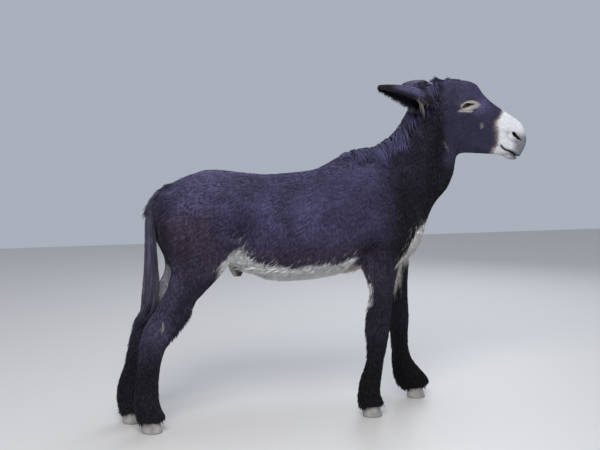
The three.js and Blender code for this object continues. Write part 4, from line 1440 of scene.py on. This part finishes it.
def grow_tail(coat):
    """Long locks down the tail, some of them dun in its lower part."""
    count, steps = int(1300 * LOCK_SHARE), 9
    start = np.where(rng.random(count) < 0.45, rng.uniform(0, 0.12, count), rng.uniform(0.05, 0.62, count))
    reach = np.where(start < 0.1, rng.uniform(0.16, 0.34, count), rng.uniform(0.28, 0.60, count))
    stop = np.minimum(start + reach, rng.uniform(0.86, 1.0, count))
    angle = rng.uniform(0, 2 * math.pi, count)
    spread = np.sqrt(rng.uniform(0.30, 1.0, count))
    share = np.linspace(0, 1, steps)[None]
    t = start[:, None] + (stop - start)[:, None] * share
    grow_out = spread[:, None] * (0.70 + 0.30 * np.clip(share * 2.2, 0, 1))
    wave = 0.10 * np.sin(share * 5 + angle[:, None] * 3)
    line = tail_at(t.ravel(), (np.cos(angle)[:, None] * grow_out + wave).ravel(),
                   (np.sin(angle)[:, None] * grow_out + wave[:, ::-1]).ravel())
    up = unit(line - tail_at(t.ravel(), 0 * t.ravel(), 0 * t.ravel()) + np.array((-1e-4, 0, 0)))
    line = lines_to_row(line.reshape(count, steps, 3))
    width = 0.0042 * rng.uniform(0.6, 1.4, count)
    widths = width[:, None] * np.interp(share[0], (0, 0.2, 0.75, 1), (0.6, 1.0, 0.8, 0.1))[None]
    strand = value_noise(np.stack([angle * 1.4, spread * 2.0, np.zeros(count)], 1), 1.0, 2)
    pale = (rng.random(count) < 0.06 + 0.50 * smooth(strand, 0.28, 0.5)) & (start > 0.28)
    colour = np.where(pale[:, None], DUN_STREAK, TAIL_BLACK) * rng.uniform(0.6, 1.3, count)[:, None]
    place = np.stack([0.02 + 0.9 * t[:, 0], 0.99 - 0.01 * rng.random(count)], 1)
    coat.add(line, up.reshape(count, steps, 3), widths, widths * 0.4, colour, place)


def grow_dock(coat):
    """Rough hair round the root of the tail, standing out to the rear."""
    count, steps = int(420 * LOCK_SHARE), 5
    t = rng.uniform(0.0, 0.24, count)
    angle = rng.uniform(0.25 * math.pi, 1.75 * math.pi, count)
    root = tail_at(t, 0.8 * np.cos(angle), 0.8 * np.sin(angle))
    out = unit(root - tail_at(t, 0 * t, 0 * t) + np.array((-0.004, 0, 0)))
    rear = smooth(-np.cos(angle), 0.2, 0.9)
    tuft = np.sin(np.round(t / 0.030) * 2.3)
    way = unit(np.array((-0.35, 0, -1.0)) + rng.normal(0, 0.10, (count, 3)))
    length = 0.046 * rng.uniform(0.7, 1.25, count)
    span = np.linspace(0, 1, steps)
    stand = (0.004 + 0.012 * rear * (1 + 0.5 * tuft)) * rng.uniform(0.5, 1.2, count)
    line = root[:, None] + way[:, None] * (length[:, None] * span)[..., None]
    line = lines_to_row(line + out[:, None] * (stand[:, None] * span ** 0.8)[..., None])
    width = 0.0048 * rng.uniform(0.7, 1.3, count)
    colour = TAIL_BLACK * rng.uniform(0.45, 1.1, count)[:, None]
    coat.locks(line, np.repeat(out[:, None], steps, 1), width, (0.7, 1, 0.7, 0.1), colour, root)


def above_the_tail(straight):
    return bell(straight, (-0.535, 1.190), (0.040, 0.050)) * smooth(-np.abs(straight[:, 1]), -0.060, -0.030)


def grow_tail_head(ground, coat):
    """Rough tufts on the rump, just above the tail."""
    roots, normals, straight, count = ground.choose(620, above_the_tail)
    tuft = np.sin(np.round(straight[:, 2] / 0.022) * 2.9 + np.round(straight[:, 1] / 0.025) * 1.7)
    way = unit(np.array((-0.55, 0, -0.85)) + rng.normal(0, 0.12, (count, 3)))
    length = 0.038 * rng.uniform(0.7, 1.25, count)
    stand = (0.009 + 0.006 * tuft) * rng.uniform(0.4, 1.2, count)
    line, ups = hang(roots, normals, way, length, stand, 4)
    width = 0.0050 * rng.uniform(0.7, 1.3, count)
    colour = hair_colour(straight, normals[:, 2]) * rng.uniform(0.35, 0.85, count)[:, None]
    coat.locks(line, ups, width, (0.7, 1, 0.7, 0.1), colour, straight)


def ear_rim(ear, t, side, low, high):
    """Roots near the ears' edges, the way out there and the way along the ear."""
    at, back, across, tangent, radius, half = ear_frame(ear, t)
    turn = side * half * rng.uniform(low, high, len(t))
    rim = np.cos(turn)[:, None] * back + np.sin(turn)[:, None] * across
    return at + rim * (radius - 0.004)[:, None], rim, tangent


def ear_fringe(ear, steps):
    """Dark hair along both edges of an ear."""
    span = np.linspace(0, 1, steps)
    count = int(560 * LOCK_SHARE)
    t = rng.uniform(0.55, 3.85, count)
    side = np.where(rng.random(count) < 0.5, 1.0, -1.0)
    root, rim, tangent = ear_rim(ear, t, side, 0.90, 0.99)
    way = unit(tangent * 0.9 + rim * 0.35 + np.array((0, 0, -0.35)) + rng.normal(0, 0.22, (count, 3)))
    length = (0.024 - 0.004 * t) * rng.uniform(0.7, 1.4, count)
    line = root[:, None] + way[:, None] * (length[:, None] * span)[..., None]
    line[..., 2] -= 0.004 * span ** 2
    width = 0.0032 * rng.uniform(0.7, 1.3, count)
    colour = BLACK * rng.uniform(0.7, 1.5, count)[:, None]
    colour = paint(colour, (t < 1.5) * 0.35 * rng.random(count), CREAM * 0.6)
    return line, np.repeat(rim[:, None], steps, 1), width, colour


def ear_wisp(ear, steps):
    """The pale wisp that hangs from the middle of the right ear's near edge."""
    span = np.linspace(0, 1, steps)
    count = int(120 * WISP_SHARE)
    t = rng.uniform(1.70, 2.00, count)
    near_side = -np.sign(ear_frame(ear, t)[2][:, 1])
    root = ear_rim(ear, t, near_side, 0.93, 1.0)[0]
    goal = np.array(WISP_END) + rng.normal(0, (0.0025, 0.002, 0.008), (count, 3))
    goal = root + (goal - root) * rng.uniform(0.55, 1.0, count)[:, None]
    line = root[:, None] + (goal - root)[:, None] * span[None, :, None]
    line = line + np.array(WISP_BOW) * (span * (1 - span) * 4)[None, :, None]
    width = 0.0028 * rng.uniform(0.7, 1.3, count)
    colour = CREAM * rng.uniform(0.20, 0.55, count)[:, None]
    return line, np.tile((0.0, -1.0, 0.2), (count, steps, 1)), width, colour


def grow_ear_hair(coat, steps=5):
    """Fringes on the edges of both ears, and the right one's pale wisp."""
    groups = [ear_fringe(ear, steps) for ear in EARS.values()] + [ear_wisp(EARS["ear_right"], steps)]
    line, up, width, colour = (np.concatenate(parts) for parts in zip(*groups))
    coat.locks(lines_to_row(line), unit(up), width, (0.7, 1.0, 0.8, 0.1), colour, line[:, 0])


def grow_lashes(coat, steps=4):
    """A row of lashes on the upper lids."""
    span = np.linspace(0, 1, steps)
    lines, ups = [], []
    for side in (-1, 1):
        slit, across, out = eye_axes(side)
        for u in np.linspace(-0.016, 0.018, 26):
            edge = lid_edges(np.array([u]))[1][0]
            w = math.sqrt(max((EYE_RADIUS + LID_THICKNESS) ** 2 - u ** 2 - edge ** 2, 0)) - 0.001
            root = EYEBALL * (1, side, 1) + slit * u + across * (edge + 0.0012) + out * w
            way = unit(out * 0.8 - across * 0.75 + slit * (u * 8 + 0.25))
            reach = 0.010 + 0.003 * math.cos(u * 300)
            lines.append(root + way * (reach * span)[:, None] + across * (0.003 * span ** 2)[:, None])
            ups.append(np.tile(across, (steps, 1)))
    line = np.array(lines)
    width = np.full(len(line), 0.0011)[:, None] * np.array((1.0, 0.9, 0.6, 0.1))[None]
    colour = np.tile(BLACK * 0.5, (len(line), 1))
    coat.add(lines_to_row(line), np.array(ups), width, width * 0.6, colour, unwrap(line[:, 0]))


# ---------------------------------------------------------------- materials

def node(tree, kind, **values):
    """A new node, with its sockets or its own settings set."""
    made = tree.nodes.new(kind)
    for key, value in values.items():
        if key in made.inputs:
            made.inputs[key].default_value = value
        else:
            setattr(made, key, value)
    return made


def noise_of(tree, scale, detail, stretch):
    """Noise over the object's own coordinates."""
    where = node(tree, "ShaderNodeTexCoord")
    mapping = node(tree, "ShaderNodeMapping", Scale=stretch)
    noise = node(tree, "ShaderNodeTexNoise", Scale=scale, Detail=detail)
    tree.links.new(where.outputs["Object"], mapping.inputs["Vector"])
    tree.links.new(mapping.outputs["Vector"], noise.inputs["Vector"])
    return noise.outputs["Fac"]


def painted_material(name, rough, attribute="Hair", scale=120, low=0.75, high=1.25, bump=(500, 0.0008),
                     stretch=(1, 1, 1), specular=0.5):
    """A piece's own colours, made lighter and darker by fine noise, over a bump of (scale, depth)."""
    material = bpy.data.materials.new(name)
    material.use_nodes = True
    tree = material.node_tree
    shader = tree.nodes["Principled BSDF"]
    shader.inputs["Roughness"].default_value = rough
    shader.inputs["Specular IOR Level"].default_value = specular
    colour = node(tree, "ShaderNodeAttribute", attribute_name=attribute)
    ramp = node(tree, "ShaderNodeMapRange", **{"To Min": low, "To Max": high})
    mix = node(tree, "ShaderNodeVectorMath", operation="SCALE")
    tree.links.new(noise_of(tree, scale, 3.0, stretch), ramp.inputs["Value"])
    tree.links.new(colour.outputs["Color"], mix.inputs[0])
    tree.links.new(ramp.outputs["Result"], mix.inputs["Scale"])
    tree.links.new(mix.outputs["Vector"], shader.inputs["Base Color"])
    raised = node(tree, "ShaderNodeBump", Distance=bump[1], Strength=0.8)
    tree.links.new(noise_of(tree, bump[0], 4.0, stretch), raised.inputs["Height"])
    tree.links.new(raised.outputs["Normal"], shader.inputs["Normal"])
    return material


MATERIALS = {
    "coat": painted_material("coat", 0.50, scale=60, low=0.78, high=1.22, stretch=(0.5, 1, 1), specular=0.18),
    "skin": painted_material("skin_coat", 0.60, scale=260, low=0.72, high=1.12, bump=(420, 0.0018),
                             stretch=(0.35, 1, 0.8), specular=0.2),
    "hair": painted_material("long_hair", 0.46, scale=200, low=0.65, high=1.35, stretch=(1, 1, 0.3),
                             specular=0.3),
    "eye": painted_material("eye", 0.06, attribute="Iris", scale=900, low=0.8, high=1.2, bump=(60, 0.00002)),
    "hoof": painted_material("hoof", 0.58, attribute="Horn", scale=160, low=0.72, high=1.22,
                             bump=(260, 0.0012), stretch=(1, 1, 0.45)),
    "sheath": painted_material("sheath_skin", 0.55, scale=200, low=0.7, high=1.2, bump=(300, 0.0010)),
}


# ---------------------------------------------------------------- eyes, hooves, sheath

def make_eyes():
    """Two eyeballs with a dark iris, a level pupil, a bulging cornea and whites painted dark as in shade."""
    rings, sides = 40, 56
    angle, turn = tube_grid(np.linspace(0.03, math.pi - 0.03, rings), sides)
    reach = EYE_RADIUS + CORNEA * hump(angle, 0, 0.55)
    off, w = reach * np.sin(angle), reach * np.cos(angle)
    u, v = off * np.cos(turn), off * np.sin(turn)
    rays = 0.5 + 0.5 * np.sin(turn * 31 + 2 * np.sin(turn * 7))
    iris = IRIS_BROWN * (0.7 + 0.6 * rays)[:, None]
    # outside the iris, the eye's white in painted shade
    colour = np.where((off < IRIS_RADIUS)[:, None], iris, EYE_WHITE_IN_SHADE)
    pupil = (np.hypot(u / PUPIL[0], v / PUPIL[1]) < 1) & (w > 0)
    colour = np.where(pupil[:, None], PUPIL_BLACK, colour)
    for side, name in ((-1, "eye_right"), (1, "eye_left")):
        slit, across, out = eye_axes(side)
        points = EYEBALL * (1, side, 1) + u[:, None] * slit + v[:, None] * across + w[:, None] * out
        eye = closed_tube(name + "_ball", to_row(points), rings, sides)
        dress(eye, "eye", "eye", "Iris", colour, name)


# A turned set of axes for the dust on the hooves, so that it doesn't lie in level rows.
HOOF_GRAIN = np.array(((0.36, 0.48, -0.80), (-0.80, 0.60, 0.00), (0.48, 0.64, 0.60)))


def hoof_ring(z, number, middle, half):
    """One level of a hoof's wall, and its colours: growth rings, a dent at the heel, dust."""
    around = np.linspace(0, 2 * math.pi, HOOF_SIDES, endpoint=False)
    ahead, beside = np.cos(around), np.sin(around)
    share = z / HOOF_HEIGHT
    ridge = 0.0022 * math.sin(z * 560 + number) + 0.0014 * math.sin(z * 1130 + 2 * number)
    scale = (1 - 0.15 * share) * (1 - 0.03 * (z < 0.001)) * (0.988 + ridge)
    narrow = np.where(ahead < 0, 1 + 0.10 * ahead, 1)
    dent = 1 - 0.06 * hump(around, math.pi, 0.20) * (1 - share)
    on_wall = np.stack([ahead, beside, np.full(HOOF_SIDES, z * 12 + number)], 1)
    uneven = 1 + 0.010 * value_noise(on_wall, 0.7, 1)
    x = middle[0] + half[0] * scale * ahead * dent * uneven - 0.017 * share
    y = middle[1] + half[1] * scale * narrow * np.sign(beside) * np.abs(beside) ** 0.94 * uneven
    ring = np.stack([x, y, np.full(HOOF_SIDES, z)], 1)
    turned = ring @ HOOF_GRAIN
    dust = value_noise(turned, 0.026, 0) * 0.26 + value_noise(turned, 0.009, 1) * 0.12
    ring_tone = 0.96 + 0.04 * math.sin(z * 560 + number + 0.8)
    tone = HORN * ring_tone * (1 - 0.25 * (1 - smooth(np.array(z), 0.0, 0.012)))
    return ring, tone[None] * (1 + dust)[:, None]


def make_hooves():
    """A closed horn wall in place of each packed hoof."""
    levels = np.concatenate([[0, 0.0015, 0.004], np.linspace(0.007, HOOF_HEIGHT, 30)])
    for number, leg in enumerate(LEGS):
        low, high = (np.array(c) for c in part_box(leg + "_hoof"))
        low[0] += HOOF_HEEL_BACK
        rings = [hoof_ring(z, number, (low + high) / 2, (high - low) / 2) for z in levels]
        points, colours = (np.concatenate(parts) for parts in zip(*rings))
        hoof = closed_tube(leg + "_horn", points, len(levels), HOOF_SIDES)
        dress(hoof, "hoof", "hoof", "Horn", colours, leg + "_hoof")


SHEATH = ((-0.200, -0.234, 0.860, 0.020), (-0.170, -0.226, 0.820, 0.028), (-0.150, -0.218, 0.786, 0.029),
          (-0.150, -0.206, 0.760, 0.024), (-0.158, -0.196, 0.745, 0.015))


def make_sheath():
    """The folded sheath: dark on its front, a painted shade, and paler at its rear."""
    rings, sides = 26, 32
    t, angle = tube_grid(np.linspace(0, len(SHEATH) - 1.001, rings), sides)
    fold = 1 + 0.035 * np.sin(t * 9 + 1.2 * np.cos(angle)) * smooth(t, 0.8, 2.0)
    straight = in_tube(SHEATH, t, np.cos(angle) * fold, np.sin(angle) * fold)
    piece = closed_tube("sheath_fold", to_row(straight), rings, sides)
    # painted shade on the front of the sheath, pale skin at its rear
    tone = SHEATH_SHADE_DARK * (1 + 0.3 * value_noise(straight, 0.012, 1))[:, None]
    tone = paint(tone, smooth(-np.cos(angle), 0.0, 0.7), CREAM * 0.70)
    dress(piece, "sheath_skin", "sheath", "Hair", tone, "sheath")


# ---------------------------------------------------------------- the animal

def skin_colour(straight, normals):
    """The coat's markings, with bare dark skin round the eyes, in the nostrils and on the lips."""
    colour = hair_colour(straight, normals[:, 2]) * 0.92
    for side in (-1, 1):
        u, v, w = eye_place(straight, side)
        low, high = lid_edges(u)
        rim = (w > 0) & (np.abs(u - 0.008) < 0.036)
        gap = np.maximum(low - v, v - high)
        colour = paint(colour, (1 - smooth(gap, 0.0012, 0.0042)) * rim, SKIN_DARK)
    flank = smooth(np.abs(straight[:, 1]), 0.015, 0.025)
    colour = paint(colour, (1 - smooth(nostril_place(straight), 0.85, 1.20)) * flank, SKIN_DARK * 0.6)
    lips = 1 - smooth(line_distance(straight, MOUTH), 0.0030, 0.0060)
    return paint(colour, lips * smooth(straight[:, 0], 1.212, 1.222), SKIN_DARK * 1.6)


def make_animal():
    skin = make_skin()
    colours = skin_colour(to_straight(points_of(skin.data)), normals_of(skin.data))
    skin.data.materials.clear()
    dress(skin, "coat", "skin", "Hair", colours, *FLESH, "ear_left", "ear_right")
    ground = Ground(skin)
    coat = Coat("coat", "coat", "coat")
    for grow in (short_coat, grow_belly, grow_leg_hair, grow_feathers):
        grow(ground, coat)
    coat.build()
    long_hair = Coat("long_hair", "long_hair", "hair")
    grow_mane(ground, long_hair)
    grow_forelock(ground, long_hair)
    grow_tail(long_hair)
    grow_dock(long_hair)
    grow_tail_head(ground, long_hair)
    grow_ear_hair(long_hair)
    grow_lashes(long_hair)
    long_hair.build("mane", "forelock")
    tail_core()
    make_eyes()
    make_hooves()
    make_sheath()


make_animal()


# ---------------------------------------------------------------- stage, light and camera

def make_floor():
    bpy.ops.mesh.primitive_plane_add(size=14.0, location=(0, 0, 0))
    floor = bpy.context.object
    floor.name = "floor"
    material = bpy.data.materials.new("floor")
    material.use_nodes = True
    material.node_tree.nodes["Principled BSDF"].inputs["Base Color"].default_value = (0.62, 0.60, 0.58, 1)
    floor.data.materials.append(material)


def area_light(name, place, target, size, power, colour=(1, 1, 1)):
    data = bpy.data.lights.new(name, "AREA")
    data.shape, data.size, data.energy, data.color = "DISK", size, power, colour
    light = bpy.data.objects.new(name, data)
    bpy.context.scene.collection.objects.link(light)
    light.location = place
    light.rotation_euler = (Vector(target) - Vector(place)).to_track_quat("-Z", "Y").to_euler()


def make_lights():
    world = bpy.data.worlds.new("studio")
    bpy.context.scene.world = world
    world.use_nodes = True
    world.node_tree.nodes["Background"].inputs["Color"].default_value = (0.80, 0.87, 1.0, 1)
    world.node_tree.nodes["Background"].inputs["Strength"].default_value = 0.50
    area_light("key", (-1.5, -3.5, 4.2), (0, 0, 0.9), 2.5, 190, (1.0, 0.98, 0.95))
    area_light("top", (0.3, 0.5, 5.0), (0, 0, 0.8), 4.0, 70, (0.86, 0.92, 1.0))
    area_light("far", (2.5, 3.5, 3.0), (0, 0, 0.9), 3.0, 60, (0.9, 0.95, 1.0))


def make_camera():
    data = bpy.data.cameras.new("camera")
    data.lens, data.sensor_width = CAMERA_LENS, 36.0
    camera = bpy.data.objects.new("camera", data)
    bpy.context.scene.collection.objects.link(camera)
    camera.location = CAMERA_FROM + SHIFT
    level = Vector((math.sin(CAMERA_HEADING), math.cos(CAMERA_HEADING), 0)) * math.cos(CAMERA_PITCH)
    looking = level - Vector((0, 0, math.sin(CAMERA_PITCH)))
    camera.rotation_euler = looking.to_track_quat("-Z", "Y").to_euler()
    bpy.context.scene.camera = camera


make_floor()
make_lights()
make_camera()
bpy.context.scene.view_settings.view_transform = "Standard"
